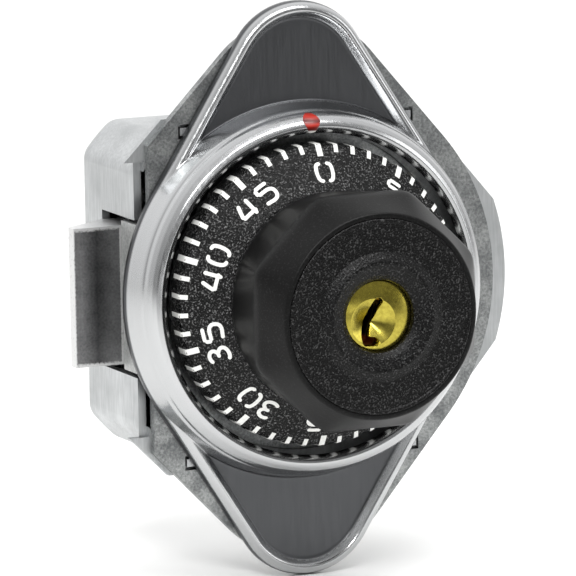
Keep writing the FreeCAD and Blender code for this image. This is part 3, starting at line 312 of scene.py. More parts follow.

# %% [markdown]
# The bezel is one stainless pressing.  The tool polishes the ring and the beaded border, while
# the sunk field of each lobe stays as the rolled sheet came, satin; its colour is also painted
# darker, a painted dark reflection of the dim room in front.  The two are told apart by height:
# the field lies 1 mm above the plate, lower than all the polished forms.

# %% Pressed stainless steel
bezel_finish, tree, shader, where = finish("pressed_stainless_steel", Metallic=1.0)
height = node(tree, "SeparateXYZ", {0: where}).outputs["Y"]
sunk = node(tree, "MapRange", {"Value": height, "From Min": -1.5 * MM, "From Max": -1.12 * MM}).outputs[0]
squeezed = node(tree, "Mapping", {"Vector": where, "Scale": (1, 1, 0.05)}).outputs[0]
streak = node(tree, "TexNoise", {"Vector": squeezed, "Scale": per(0.3), "Detail": 4.0}).outputs[0]
satin = node(tree, "MapRange", {"Value": streak, "From Min": 0.35, "From Max": 0.65,
                                "To Min": 0.32, "To Max": 0.44}).outputs[0]
polish = node(tree, "MapRange", {"Value": streak, "From Min": 0.35, "From Max": 0.65,
                                 "To Min": 0.17, "To Max": 0.25}).outputs[0]
gloss = node(tree, "Mix", {0: sunk, 2: polish, 3: satin}, data_type="FLOAT").outputs[0]
tree.links.new(gloss, shader.inputs["Roughness"])
# The field's darker grey is a painted dark reflection, not a different metal.
paint = node(tree, "Mix", {0: sunk, 6: colour("#b8b9ba"), 7: colour("#545557")},
             data_type="RGBA").outputs[2]
tree.links.new(paint, shader.inputs["Base Color"])
tilt = node(tree, "Bump", {"Height": streak, "Strength": 0.4, "Distance": 0.006 * MM}).outputs[0]
tree.links.new(tilt, shader.inputs["Normal"])

# %% [markdown]
# The bolt is hard steel with a dark tumbled finish, so its face is a soft grey with fine specks.
# A darker stripe down the middle of the face is a painted dark reflection.  Its edges carry a
# painted highlight, partly real wear: the shader measures how near a point of the head is to
# the outline of the striking face.

# %% Dark bolt
HEAD_LEFT_MM, HEAD_RIGHT_MM, HEAD_HALF_MM = -35.0, -27.3, 11.1
REFLECTION_BAND_AT_MM, REFLECTION_BAND_HALF_MM = -31.2, 2.6
bolt_finish, tree, shader, where = finish("tumbled_bolt_steel", Metallic=1.0)
spot = node(tree, "SeparateXYZ", {0: where})
speck = node(tree, "TexNoise", {"Vector": where, "Scale": per(0.4), "Detail": 4.0}).outputs[0]
cloud = node(tree, "TexNoise", {"Vector": where, "Scale": per(4.0), "Detail": 3.0}).outputs[0]
# The darker stripe round X = -31.2 mm is a painted dark reflection down the face.
aside = node(tree, "Math", {0: spot.outputs["X"], 1: -REFLECTION_BAND_AT_MM * MM}, operation="ADD").outputs[0]
apart = node(tree, "Math", {0: aside}, operation="ABSOLUTE").outputs[0]
painted_reflection_band = node(tree, "MapRange", {"Value": apart, "From Min": 0.0, "From Max": REFLECTION_BAND_HALF_MM * MM,
                               "To Min": 0.45, "To Max": 1.0}).outputs[0]
shade = node(tree, "Math", {0: speck, 1: cloud}, operation="ADD").outputs[0]
shade = node(tree, "Math", {0: shade, 1: painted_reflection_band}, operation="MULTIPLY").outputs[0]
share = node(tree, "MapRange", {"Value": shade, "From Min": 0.3, "From Max": 1.3}).outputs[0]
paint = node(tree, "Mix", {0: share, 6: colour("#3c3c3d"), 7: colour("#8f8f90")},
             data_type="RGBA").outputs[2]
# The bright edges are a painted highlight, partly standing for real wear of the edges.
high = node(tree, "Math", {0: spot.outputs["Z"]}, operation="ABSOLUTE").outputs[0]
near_ends = node(tree, "MapRange", {"Value": high, "From Min": (HEAD_HALF_MM - 0.9) * MM,
                                   "From Max": (HEAD_HALF_MM - 0.2) * MM}).outputs[0]
near_tip = node(tree, "MapRange", {"Value": spot.outputs["X"], "From Min": (HEAD_LEFT_MM + 0.3) * MM,
                                  "From Max": HEAD_LEFT_MM * MM}).outputs[0]
near_mouth = node(tree, "MapRange", {"Value": spot.outputs["X"], "From Min": (HEAD_RIGHT_MM - 0.05) * MM,
                                    "From Max": (HEAD_RIGHT_MM + 0.1) * MM}).outputs[0]
edge_wear_and_glint = node(tree, "Math", {0: near_ends, 1: near_tip}, operation="MAXIMUM").outputs[0]
edge_wear_and_glint = node(tree, "Math", {0: edge_wear_and_glint, 1: near_mouth}, operation="MAXIMUM").outputs[0]
edge_wear_and_glint = node(tree, "Math", {0: edge_wear_and_glint, 1: speck}, operation="MULTIPLY").outputs[0]
wear_and_painted_highlight = node(tree, "MapRange", {"Value": edge_wear_and_glint, "From Min": 0.15, "From Max": 0.4}).outputs[0]
paint = node(tree, "Mix", {0: wear_and_painted_highlight, 6: paint, 7: colour("#dadada")}, data_type="RGBA").outputs[2]
tree.links.new(paint, shader.inputs["Base Color"])
gloss = node(tree, "MapRange", {"Value": speck, "From Min": 0.3, "From Max": 0.7,
                                "To Min": 0.36, "To Max": 0.5}).outputs[0]
tree.links.new(gloss, shader.inputs["Roughness"])
tilt = node(tree, "Bump", {"Height": speck, "Strength": 0.4, "Distance": 0.015 * MM}).outputs[0]
tree.links.new(tilt, shader.inputs["Normal"])

# %% [markdown]
# The dial and knob are moulded in black ABS.  The mould of the dial and of the knob's face was
# sand blasted, which leaves a fine grain; the sides of the grip are smoother.  Each grain has a
# tip that glints, so the grain tilts the surface, and the grey paint on each grain's tip is a
# painted glint.  Real grains are about 0.15 mm; these are 0.3 mm, to show in the render.

# %% Black plastics
def moulded(name, base, tip, grain_mm, depth_mm, smooth_side):
    """Black plastic whose grain fades where the mould was smoother, told by the depth along Y."""
    material, tree, shader, where = finish(name, IOR=1.53, Specular_IOR_Level=0.16)
    grain = node(tree, "TexNoise", {"Vector": where, "Scale": per(grain_mm), "Detail": 2.0,
                                    "Roughness": 0.6}).outputs[0]
    depth = node(tree, "SeparateXYZ", {0: where}).outputs["Y"]
    share = node(tree, "MapRange", {"Value": depth, "From Min": smooth_side[0] * MM,
                                    "From Max": smooth_side[1] * MM, "To Min": 0.06}).outputs[0]
    # Grey on each grain's tip is a painted glint, a painted sheen, fading where the mould was smoother.
    glint_specks = node(tree, "MapRange", {"Value": grain, "From Min": 0.55, "From Max": 0.75}).outputs[0]
    painted_glint_share = node(tree, "Math", {0: glint_specks, 1: share}, operation="MULTIPLY").outputs[0]
    paint = node(tree, "Mix", {0: painted_glint_share, 6: colour(base), 7: colour(tip)}, data_type="RGBA").outputs[2]
    tree.links.new(paint, shader.inputs["Base Color"])
    gloss = node(tree, "MapRange", {"Value": share, "To Min": 0.42, "To Max": 0.26}).outputs[0]
    tree.links.new(gloss, shader.inputs["Roughness"])
    rise = node(tree, "Math", {0: grain, 1: share}, operation="MULTIPLY").outputs[0]
    tilt = node(tree, "Bump", {"Height": rise, "Strength": 1.0, "Distance": depth_mm * MM}).outputs[0]
    tree.links.new(tilt, shader.inputs["Normal"])
    return material


# The second colour of each plastic is the painted glint on its grain.
dial_finish = moulded("moulded_black_abs", "#040404", "#828282", 0.3, 0.22, (-14.5, -12.9))
cap_finish = moulded("grained_black_cap", "#030303", "#484848", 0.3, 0.13, (-40.0, -39.0))
nylon_finish, tree, shader, where = finish("moulded_nylon", Roughness=0.45, IOR=1.53)
shader.inputs["Subsurface Weight"].default_value = 0.1
grain = node(tree, "TexNoise", {"Vector": where, "Scale": per(3.0), "Detail": 3.0}).outputs[0]
paint = node(tree, "Mix", {0: grain, 6: colour("#d8d3c4"), 7: colour("#ebe7dc")},
             data_type="RGBA").outputs[2]
tree.links.new(paint, shader.inputs["Base Color"])

# %% [markdown]
# Marks and numerals are white paint wiped into, or pad printed on, the plastic.  The index
# mark is red enamel, thick enough to round over at its edges, with a white tip at the dial.  A
# ripple along its length gives slight ridges in height and painted reflection bands of dark and
# light red in colour.

# %% Paint and enamel
white_finish, tree, shader, where = finish("white_marking_paint", Roughness=0.45)
grain = node(tree, "TexNoise", {"Vector": where, "Scale": per(0.4), "Detail": 3.0}).outputs[0]
paint = node(tree, "Mix", {0: grain, 6: colour("#d6d6d2"), 7: colour("#f6f6f3")},
             data_type="RGBA").outputs[2]
tree.links.new(paint, shader.inputs["Base Color"])

TIP_RADIUS_MM = 26.15
enamel_finish, tree, shader, where = finish("red_enamel", Roughness=0.3, IOR=1.5, Coat_Weight=0.25,
                                            Coat_Roughness=0.1)
up = node(tree, "SeparateXYZ", {0: where}).outputs["Z"]
tip = node(tree, "MapRange", {"Value": up, "From Min": (TIP_RADIUS_MM + 0.1) * MM,
                              "From Max": (TIP_RADIUS_MM - 0.1) * MM}).outputs[0]
# Dark and light red bands are a painted reflection; the same ripple makes real ridges in the bump.
ridges_and_painted_bands = node(tree, "TexWave", {"Vector": where, "Scale": per(4.2), "Distortion": 1.5},
            bands_direction="Z").outputs[1]
red = node(tree, "Mix", {0: ridges_and_painted_bands, 6: colour("#5c0504"), 7: colour("#a8200f")},
           data_type="RGBA").outputs[2]
paint = node(tree, "Mix", {0: tip, 6: red, 7: colour("#f2efec")}, data_type="RGBA").outputs[2]
tree.links.new(paint, shader.inputs["Base Color"])
tilt = node(tree, "Bump", {"Height": ridges_and_painted_bands, "Strength": 0.8, "Distance": 0.08 * MM}).outputs[0]
tree.links.new(tilt, shader.inputs["Normal"])

# %% [markdown]
# The key plug is turned brass, bright on the turned face.  Inside the keyway the colour is
# painted dark, painted shade in the slot, except at its foot, where a wafer of a warmer alloy
# shows.  Depth along the axis separates the face from the keyway.

# %% Brass of the key plug
plug_finish, tree, shader, where = finish("turned_brass_plug", Metallic=1.0)
spot = node(tree, "SeparateXYZ", {0: where})
# Deeper than the face the brass is painted near black, painted shade inside the keyway.
inside = node(tree, "MapRange", {"Value": spot.outputs["Y"], "From Min": -29.0 * MM,
                                 "From Max": -28.4 * MM}).outputs[0]
foot = node(tree, "MapRange", {"Value": spot.outputs["Z"], "From Min": -3.0 * MM,
                               "From Max": -3.7 * MM}).outputs[0]
deep = node(tree, "Mix", {0: foot, 6: colour("#2a2118"), 7: colour("#a4623a")},
            data_type="RGBA").outputs[2]
streak = node(tree, "TexNoise", {"Vector": where, "Scale": per(0.5), "Detail": 4.0}).outputs[0]
face = node(tree, "Mix", {0: streak, 6: colour("#80732a"), 7: colour("#c9bc55")},
            data_type="RGBA").outputs[2]
paint = node(tree, "Mix", {0: inside, 6: face, 7: deep}, data_type="RGBA").outputs[2]
tree.links.new(paint, shader.inputs["Base Color"])
gloss = node(tree, "MapRange", {"Value": inside, "To Min": 0.2, "To Max": 0.6}).outputs[0]
tree.links.new(gloss, shader.inputs["Roughness"])
tilt = node(tree, "Bump", {"Height": streak, "Strength": 0.25, "Distance": 0.02 * MM}).outputs[0]
tree.links.new(tilt, shader.inputs["Normal"])

# %% [markdown]
# Now the pressed bezel.  It could be extruded from an outline, but a pressing flows: the ring
# rises out of a beaded border, and the border runs on round two lobes.  So it is one surface
# over angle and distance.  The border's height depends on the distance in from the outline,
# the ring's height on the radius, and a soft maximum of the two gives the fillet between them.

# %% Bezel: its heights
RING_OUT, RING_IN, RING_CREST, LOBE_UP, LOBE_TIP = 30.2, 25.6, 8.1, 33.9, 12.0
BEAD_CREST, BEAD_FLANK, BEAD_END, BEAD_HIGH, FIELD_HIGH = 1.35, 1.38, 2.85, 2.4, 1.0
ring_steps = np.array([(24.6, 5.0), (25.6, 6.9), (25.85, 7.5), (26.3, 7.95), (26.9, RING_CREST),
                       (27.6, 7.75), (28.2, 7.1), (28.7, 6.2), (28.85, 5.45), (29.05, 5.25),
                       (29.2, 4.9), (29.5, 3.6), (29.9, 2.0), (30.2, 0.6), (31.2, 0.0), (60.0, -2.0)])
fine = np.arange(24.6, 46.0, 0.01)
rough_heights = np.interp(fine, ring_steps[:, 0], ring_steps[:, 1])
window = np.hanning(31)
padded = np.pad(rough_heights, 15, mode="edge")
smooth_heights = np.convolve(padded, window / window.sum(), mode="valid")


def ring_height(radius):
    """Height of the ring above the plate: its profile with corners averaged over 0.3 mm."""
    return np.interp(radius, fine, smooth_heights)


def border_height(inward):
    """A quarter-round flank up to the bead's crest, then half a cosine down to the sunk field."""
    flank = BEAD_HIGH * np.sqrt(np.clip(1 - ((BEAD_CREST - inward) / BEAD_FLANK) ** 2, 0, 1))
    fall = 0.5 * (1 + np.cos(math.pi * np.clip((inward - BEAD_CREST) / (BEAD_END - BEAD_CREST), 0, 1)))
    return np.where(inward < BEAD_CREST, flank, FIELD_HIGH + (BEAD_HIGH - FIELD_HIGH) * fall)


def outline_radius(angle, inward):
    """Radius of the bezel's outline moved inward: a circle about the lobe's centre near the top,
    a straight tangent beside it, and the ring's own circle at the sides; mirrored below."""
    lean = math.acos((RING_OUT - LOBE_TIP) / LOBE_UP)
    wide, tip = RING_OUT - inward, LOBE_TIP - inward
    off = np.arccos(np.clip(np.abs(np.cos(angle)), 0, 1))
    leave = np.arctan2(tip * math.sin(lean), LOBE_UP + tip * math.cos(lean))
    lobe = LOBE_UP * np.cos(off) + np.sqrt(np.clip(tip ** 2 - (LOBE_UP * np.sin(off)) ** 2, 0, None))
    line = wide / np.cos(np.minimum(off, lean) - lean)
    return np.where(off < leave, lobe, np.where(off < lean, line, wide))


# %% [markdown]
# The grid's columns run round the bezel and its rows run from the outline inward, over the
# bead, down into the field, up over the ring, down its inner wall, and back behind.  Rows a
# fixed distance apart in radius would be few where the surface is steep, so each column is
# measured along the surface, and its rows are set at equal steps of that length.

# %% Bezel: the surface
BEZEL_COLUMNS, BEZEL_ROWS, FILLET = 720, 108, 0.05
angle = around(BEZEL_COLUMNS)[None, :]
outline = outline_radius(angle, 0.0)
share = np.linspace(0, 1, 700)[:, None]
radius = outline + (RING_IN - outline) * share
inward = np.linspace(0, 12, 300)[:, None]
rows_out = outline_radius(angle, inward)


def bezel_height(radius, angle):
    """Soft maximum of the border's height and the ring's: (a + b + root((a - b)^2 + c)) / 2."""
    columns = range(angle.size)
    edges = np.stack([np.interp(-radius[:, k], -rows_out[:, k], inward[:, 0]) for k in columns], axis=1)
    low, high = border_height(edges), ring_height(radius)
    return np.minimum(0.5 * (low + high + np.sqrt((low - high) ** 2 + FILLET)), RING_CREST)


walk = np.hypot(np.diff(radius, axis=0), np.diff(bezel_height(radius, angle), axis=0))
walk = np.vstack([0 * outline, np.cumsum(walk, axis=0)])
walk = walk / walk[-1:] * 0.999 + np.arange(angle.size)
wanted = np.linspace(0, 1, BEZEL_ROWS)[:, None] * 0.999 + np.arange(angle.size)
radius = np.interp(wanted.T.ravel(), walk.T.ravel(), radius.T.ravel()).reshape(angle.size, -1).T
top_height = bezel_height(radius, angle)
wall = turned(angle, RING_IN + 0 * angle, -np.linspace(6.6, 0, 8)[:, None])
share = np.linspace(0, 1, 4)[1:, None]
behind = turned(angle, RING_IN + (outline - RING_IN) * share, 0.0)
bezel_grid = np.concatenate([turned(angle, radius, -top_height), wall, behind])
bezel = make_piece("bezel_pressing", [bezel_grid], "housing", bezel_finish)
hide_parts("bezel")

# %% [markdown]
# The index mark is a drop of enamel lying on the ring, its point towards the dial.  Its width
# follows a drop's outline and its thickness the root of what is left to the edge, like a bead
# of liquid, laid on the ring's own height.

# %% Index mark
MARK_LOW, MARK_HIGH, MARK_HALF, MARK_THICK, MARK_ASIDE, MARK_TOP = 25.62, 28.8, 1.42, 0.2, -0.6, 8.35
along = np.linspace(0, 1, 41)[:, None]
round_section = np.linspace(0, 2 * math.pi, 33)[None, :-1]
taper = 0.32 + 0.68 * np.clip(along / 0.6, 0, 1)
shoulder = np.sqrt(np.clip(1 - (np.clip(along - 0.62, 0, 1) / 0.38) ** 2, 0, 1))
half = MARK_HALF * taper * shoulder * np.sqrt(np.clip(along / 0.08, 0, 1))
across = half * np.cos(round_section)
reach = MARK_LOW + (MARK_HIGH - MARK_LOW) * along + 0 * across
swell = MARK_THICK * np.sin(round_section) * np.sqrt(np.clip(half / MARK_HALF, 0, 1))
mark_height = np.minimum(ring_height(reach) + swell, MARK_TOP)
mark_grid = np.stack([across + MARK_ASIDE, -mark_height, reach], axis=-1)
mark_grid[0] = mark_grid[0].mean(axis=0)
mark_grid[-1] = mark_grid[-1].mean(axis=0)
mark = make_piece("index_drop", [mark_grid], "housing", enamel_finish, round_rows=False)
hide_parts("index_pointer")

# %% [markdown]
# The dial and grip are one moulding.  A lathe profile gives the rim, the cone with the
# numerals and the hollow back.  The grip leaves the cone as a circle, flares to an eight-sided
# form, and comes back to a circle at its face.  A sum of high powers of cosines gives an
# octagon whose corners are slightly round, and its share grows and fades along the grip.

# %% Dial and grip
GRIP_FOOT, GRIP_WIDE, GRIP_FACE = -12.6, -26.0, -32.0
CORNER_POWER, SCALLOPS, SCALLOP_DEEP = 40, 50, 0.28
dial_corners = [(5.03, -1.9), (9.4, -1.9), (9.4, -9.8), (22.2, -7.1), (22.2, -3.8), (24.0, -3.8),
                (24.0, -8.0), (17.1, -12.6), (18.7, -26.0), (16.17, -32.0), (15.43, -32.0),
                (15.43, -30.6), (7.23, -30.6), (7.23, -13.4), (5.03, -13.4)]
dial_softness = [0.05, 0.2, 0.2, 0.2, 0.1, 0.12, 0.22, 0.5, 1.3, 0.35, 0.1, 0.05, 0.05, 0.05, 0.05]
profile = soften(dial_corners, dial_softness, 0.7)
angle = around(400)[None, :]
eighth = np.arange(8)[:, None] * math.pi / 4
lobes = np.clip(np.cos(angle - eighth), 0, 1) ** CORNER_POWER
octagon = lobes.sum(axis=0) ** (-1 / CORNER_POWER)
flare = np.interp(profile[:, 1], [GRIP_FACE, GRIP_WIDE, GRIP_FOOT], [0, 1, 0]) * (profile[:, 0] > 15.8)
flare = np.where(profile[:, 1] < GRIP_FOOT, flare, 0)[:, None]
rim = ((profile[:, 0] > 23.5) & (profile[:, 1] > -8.4))[:, None]
scallop = SCALLOP_DEEP * (0.5 - 0.5 * np.cos(SCALLOPS * angle)) ** 1.5 * rim
radius = profile[:, :1] * (1 + flare * (octagon - 1)) - scallop
dial_grid = turned(angle, radius, profile[:, 1:])
dial = make_piece("dial_moulding", [dial_grid], "dial_group", dial_finish)
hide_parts("dial")

# %% [markdown]
# The marks are narrow ribbons of paint that start on the cone, bend over the rim's edge and
# run down its wall.  Every fifth is longer.  One function lays a ribbon along any path: it
# needs the path, the direction across it and the direction off the surface.

# %% Ribbons of paint
def ribbons(path, across, off, half, lift=0.035, sink=0.05):
    """Closed strips round many paths (strip, step, 3): four edges, at path +- half across,
    raised by lift and sunk below the surface, so that no gap shows under the paint."""
    half = half[..., None]
    edges = [path - half * across + lift * off, path + half * across + lift * off,
             path + half * across - sink * off, path - half * across - sink * off]
    grid = np.stack(edges, axis=2)
    caps = np.broadcast_to(grid.mean(axis=2, keepdims=True), grid.shape)
    return np.concatenate([caps[:, :1], grid, caps[:, -1:]], axis=1)


RIM_RADIUS, RIM_Y, CONE_RISE, CONE_RUN = 24.0, -8.0, 4.6, 6.9
CONE_OFF, CONE_CLIMB = (0.555, -0.832), (0.832, 0.555)


def on_cone(angle, radius):
    """A point of the numbered cone: it rises 4.6 mm while the radius falls from 24 to 17.1."""
    return turned(angle, radius, RIM_Y - (RIM_RADIUS - radius) * CONE_RISE / CONE_RUN)


DIVISIONS, LONG_IN, SHORT_IN, LONG_WIDE, SHORT_WIDE = 50, 22.24, 22.8, 0.95, 0.72
MARK_BEND_IN, MARK_BEND_Y, MARK_DOWN = 23.84, -7.8, -5.2
mark_angle = 2 * math.pi * (np.arange(DIVISIONS) + 0.05) / DIVISIONS
inner = np.where(np.arange(DIVISIONS) % 5 == 0, LONG_IN, SHORT_IN)[:, None]
cone_walk = inner + (MARK_BEND_IN - inner) * np.linspace(0, 1, 8)[None, :]
cone_part = on_cone(mark_angle[:, None], cone_walk)
wall_walk = np.linspace(MARK_BEND_Y, MARK_DOWN, 8)[None, :] + 0 * inner
wall_part = turned(mark_angle[:, None], RIM_RADIUS + 0 * wall_walk, wall_walk)
path = np.concatenate([cone_part, wall_part], axis=1)
outward = turned(mark_angle, 1.0 + 0 * mark_angle, 0.0)[:, None, :]
cone_off = turned(mark_angle, CONE_OFF[0] + 0 * mark_angle, CONE_OFF[1])[:, None, :]
off = np.concatenate([np.broadcast_to(cone_off, cone_part.shape),
                      np.broadcast_to(outward, wall_part.shape)], axis=1)
sideways = np.stack([np.cos(mark_angle), 0 * mark_angle, -np.sin(mark_angle)], axis=-1)[:, None, :]
half = np.where(inner < SHORT_IN, LONG_WIDE, SHORT_WIDE) / 2 + 0 * path[:, :, 0]
mark_strips = ribbons(path, np.broadcast_to(sideways, path.shape), off, half)
make_piece("dial_marks", list(mark_strips), "dial_group", white_finish,
           round_rows=False, smooth=False)

# %% [markdown]
# The numerals are plain digits drawn with a round-ended stroke, like a drafting stencil, so
# some corners stay open.  Each digit is a few centre lines in a unit square.  They are bent
# round the cone: the height on the page becomes the radius, and the width becomes an angle.

# %% Digits as centre lines
def bow(x, y, wide, high, first, last, count=26):
    """Part of an ellipse between two angles in degrees, counted from the right, upward."""
    t = np.radians(np.linspace(first, last, count))
    return np.stack([x + wide * np.cos(t), y + high * np.sin(t)], axis=1)


def bent(*corners):
    """A line through the corners of a digit, with each corner rounded."""
    return soften(np.array(corners), 0.22, 0.03, closed=False)


DIGITS = {
    "0": [bent((-0.15, 1.0), (-0.42, 0.95), (-0.5, 0.68), (-0.5, 0.3), (-0.4, 0.04), (-0.13, 0.0)),
          bent((0.15, 1.0), (0.42, 0.95), (0.5, 0.68), (0.5, 0.3), (0.4, 0.04), (0.13, 0.0))],
    "1": [bent((0.05, 0.0), (0.05, 1.0)), bent((-0.2, 0.8), (0.0, 0.97))],
    "2": [bent((-0.4, 0.78), (-0.3, 1.0), (0.38, 1.02), (0.46, 0.62), (-0.42, 0.06)),
          bent((-0.44, 0.0), (0.46, 0.0))],
    "3": [np.vstack([bow(0.08, 0.78, 0.36, 0.25, 150, -70), [(-0.04, 0.53)]]),
          bow(0.06, 0.26, 0.46, 0.27, 72, -150)],
    "4": [bent((-0.2, 1.0), (-0.59, 0.3)), bent((-0.61, 0.29), (0.47, 0.22)), bent((0.32, 1.0), (0.28, 0.0))],
    "5": [bent((0.38, 1.0), (-0.41, 0.98)), bent((-0.41, 0.98), (-0.44, 0.62)),
          bent((-0.42, 0.63), (0.3, 0.66), (0.56, 0.5), (0.56, 0.14), (0.3, -0.02), (-0.4, 0.03))],
}
DIGIT_WIDE, DIGIT_HIGH, DIGIT_STEP, STROKE, NUMERAL_IN = 2.7, 2.6, 3.95, 0.62, 18.6


def stroke_points(line, count=36):
    """Points along a centre line, closer together at both ends, where the stroke is round."""
    length = np.concatenate([[0], np.cumsum(np.linalg.norm(np.diff(line, axis=0), axis=1))])
    t = 0.5 - 0.5 * np.cos(np.linspace(0, math.pi, count))
    walk = t * length[-1]
    return np.stack([np.interp(walk, length, line[:, k]) for k in (0, 1)], axis=1), walk, length[-1]


# %% Numerals on the cone
strips = []
for count in range(10):
    text = str(5 * count)
    number_angle = mark_angle[5 * count]
    for k, digit in enumerate(text):
        shift = (k - (len(text) - 1) / 2) * DIGIT_STEP
        for line in DIGITS[digit]:
            page = line * [DIGIT_WIDE, DIGIT_HIGH]
            flat, walk, total = stroke_points(page)
            ends = np.minimum(walk, total - walk)
            half = STROKE / 2 * np.sqrt(np.clip(1 - (1 - np.clip(ends / (STROKE / 2), 0.02, 1)) ** 2, 0, 1))
            step = np.gradient(flat, axis=0)
            step /= np.linalg.norm(step, axis=1, keepdims=True)
            normal = np.stack([-step[:, 1], step[:, 0]], axis=1)
            radius = NUMERAL_IN + flat[:, 1]
            turn = number_angle + (shift + flat[:, 0]) / (NUMERAL_IN + DIGIT_HIGH / 2)
            aside = np.stack([np.cos(turn), 0 * turn, -np.sin(turn)], axis=-1)
            climb = turned(turn, *CONE_CLIMB)
            off = turned(turn, *CONE_OFF)
            across = normal[:, :1] * aside + normal[:, 1:] * climb
            strips.append(ribbons(on_cone(turn, radius)[None], across[None], off[None], half[None])[0])
make_piece("dial_numerals", strips, "dial_group", white_finish,
           round_rows=False, smooth=False)

# %% [markdown]
# The cap that closes the grip is a separate black moulding.  A thin raised line runs round its
# edge, its field is grained, and a collar stands round the key plug with a dished mouth.  All
# of it is turned about one axis, so a single profile with softened corners makes it.

# %% Knob cap
cap_corners = [(5.72, -30.65), (15.38, -30.65), (15.38, -32.05), (15.2, -32.22), (14.85, -32.22),
               (14.65, -32.0), (10.25, -32.0), (9.9, -32.22), (8.75, -32.88), (8.35, -32.88),
               (6.6, -32.2), (5.72, -31.5)]
cap_softness = [0.05, 0.05, 0.08, 0.06, 0.06, 0.12, 0.2, 0.25, 0.15, 0.15, 0.3, 0.2]
profile = soften(cap_corners, cap_softness, 0.35)
angle = around(360)[None, :]
cap = make_piece("cap_moulding", [turned(angle, profile[:, :1], profile[:, 1:])], "dial_group",
                 cap_finish)
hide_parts("knob_cap")

# %% [markdown]
# The plug's front is slightly domed, with a countersink round a wavy keyway.  Cutting a slot
# needs a boolean or a fine grid; a grid over radius and angle keeps it one surface.  Its depth
# is the dome, plus the cone of the countersink, plus a deep drop wherever the point lies
# within half a slot width of the keyway's centre line.

# %% Key plug
keyway_line = np.array([(-0.1, 2.2), (-0.6, 1.0), (-0.85, 0.0), (-1.35, -1.1), (-1.75, -2.2), (-2.0, -3.2),
                        (-1.95, -4.0), (-0.6, -4.1)])
KEYWAY_HALF, KEYWAY_DEEP, SINK_RADIUS, SINK_DEEP = 0.68, 5.0, 3.7, 2.7
PLUG_FACE, DOME_Y, DOME_RADIUS = 5.45, -31.58, 18.0
sink_centre = np.array([-1.0, -0.9])


def from_line(x, z, line):
    """Shortest distance from points to a chain of straight pieces."""
    start, end = line[:-1], line[1:]
    side = end - start
    spot = np.stack([x, z], axis=-1)[..., None, :]
    share = ((spot - start) * side).sum(-1) / (side ** 2).sum(-1)
    near = start + np.clip(share, 0, 1)[..., None] * side
    return np.linalg.norm(spot - near, axis=-1).min(axis=-1)


angle = around(420)[None, :]
disc = np.linspace(0, PLUG_FACE, 150)[:, None]
x, z = disc * np.sin(angle), disc * np.cos(angle)
dome = DOME_Y + disc ** 2 / (2 * DOME_RADIUS) + 0 * angle
cone = SINK_DEEP * np.clip(1 - np.hypot(x - sink_centre[0], z - sink_centre[1]) / SINK_RADIUS, 0, 1)
gap = from_line(x, z, keyway_line)
drop = KEYWAY_DEEP * np.clip((KEYWAY_HALF + 0.04 - gap) / 0.08, 0, 1)
front = turned(angle, disc + 0 * angle, dome + cone + drop)
side_corners = [(5.45, -30.76), (5.6, -30.55), (5.6, -30.5), (6.4, -30.5), (6.4, -29.85), (5.6, -29.85),
                (5.6, -13.4), (0.0, -13.4)]
side = soften(side_corners, 0.08, 0.6, closed=False)[1:]
plug_grid = np.concatenate([front, turned(angle, side[:, :1], side[:, 1:])])
plug = make_piece("plug_turning", [plug_grid], "plug_group", plug_finish, round_rows=False)
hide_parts("key_plug")

# %% [markdown]
# The bolt's two coil springs shorten as the bolt is drawn back, which a solid can't do.  So each
# is wound again as a tube along a helix and rides on the bolt.

# %% Bolt springs
COIL_WIRE, COIL_PITCH, COIL_STEPS, COIL_SIDES, BOLT_TRAVEL = 0.35, 1.75, 28, 10, 7.8


def coil(low, high):
    """A tube round a helix about X that fills a box: the centre line is at the mean radius, and
    the section's circle is spanned by the way out from the axis and by X."""
    middle, reach = (low + high) / 2, (high - low) / 2
    turns = int((2 * reach[0] - 2 * COIL_WIRE) / COIL_PITCH)
    t = np.linspace(0, 1, COIL_STEPS * turns + 1)[:, None]
    phase = 2 * math.pi * turns * t
    out = np.concatenate([0 * t, np.cos(phase), np.sin(phase)], axis=1)
    line = middle + (reach[1] - COIL_WIRE) * out
    line[:, :1] = low[0] + COIL_WIRE + 2 * (reach[0] - COIL_WIRE) * t
    section = around(COIL_SIDES)[None, :, None]
    tube = line[:, None] + COIL_WIRE * (np.cos(section) * out[:, None] + np.sin(section) * [1.0, 0.0, 0.0])
    ends = [np.repeat(line[k:k + 1, None], COIL_SIDES, axis=1) for k in (0, len(line) - 1)]
    return np.concatenate([ends[0], tube, ends[1]])


for name in ("bolt_spring_upper", "bolt_spring_lower"):
    low, high = (np.array(corner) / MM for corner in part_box(name))
    spring = make_piece(f"{name}_coil", [coil(low, high)], "bolt_group", spring_finish,
                        round_rows=False)
    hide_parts(name)
    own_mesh(spring)

# %% [markdown]
# The other pieces keep their CAD shapes, whose edges are already right, and only get a finish.
# Each finish is set on every material slot of the piece.

# %% Finishes of the CAD pieces
NODE_FINISHES = {
    "mounting_plate": zinc_finish, "bolt_guide": guide_finish, "case": case_finish,
    "bezel_post_upper": post_finish, "bezel_post_lower": post_finish, "bolt": bolt_finish,
    "cylinder_shell": bushing_finish, "key_pins": bushing_finish, "driver_pins": bushing_finish,
    "pin_springs": spring_finish, "bolt_spring_upper": spring_finish, "bolt_spring_lower": spring_finish,
    "lever_spring": spring_finish, "spindle_clip": spring_finish, "tailpiece": spindle_finish,
    "key_slide": spindle_finish, "slide_keeper": spindle_finish, "spindle": spindle_finish,
    "spindle_bushing": bushing_finish, "dial_washer": nylon_finish, "wheel_spacers": nylon_finish,
    "wheel_1": wheel_finish, "wheel_2": wheel_finish, "driver_cam": wheel_finish,
    "inner_frame": frame_finish, "standoffs": post_finish, "fence_lever": frame_finish,
    "lever_pivot": post_finish,
}
REPLACED_FINISHES = {
    "bezel": bezel_finish, "index_pointer": enamel_finish, "dial": dial_finish, "knob_cap": cap_finish,
    "key_plug": plug_finish,
}
for name, material in {**NODE_FINISHES, **REPLACED_FINISHES}.items():
    for holder in nodes[name].material_slots:
        holder.material = material
print("nodes without a finish:", sorted(set(nodes) - set(NODE_FINISHES) - set(REPLACED_FINISHES)))
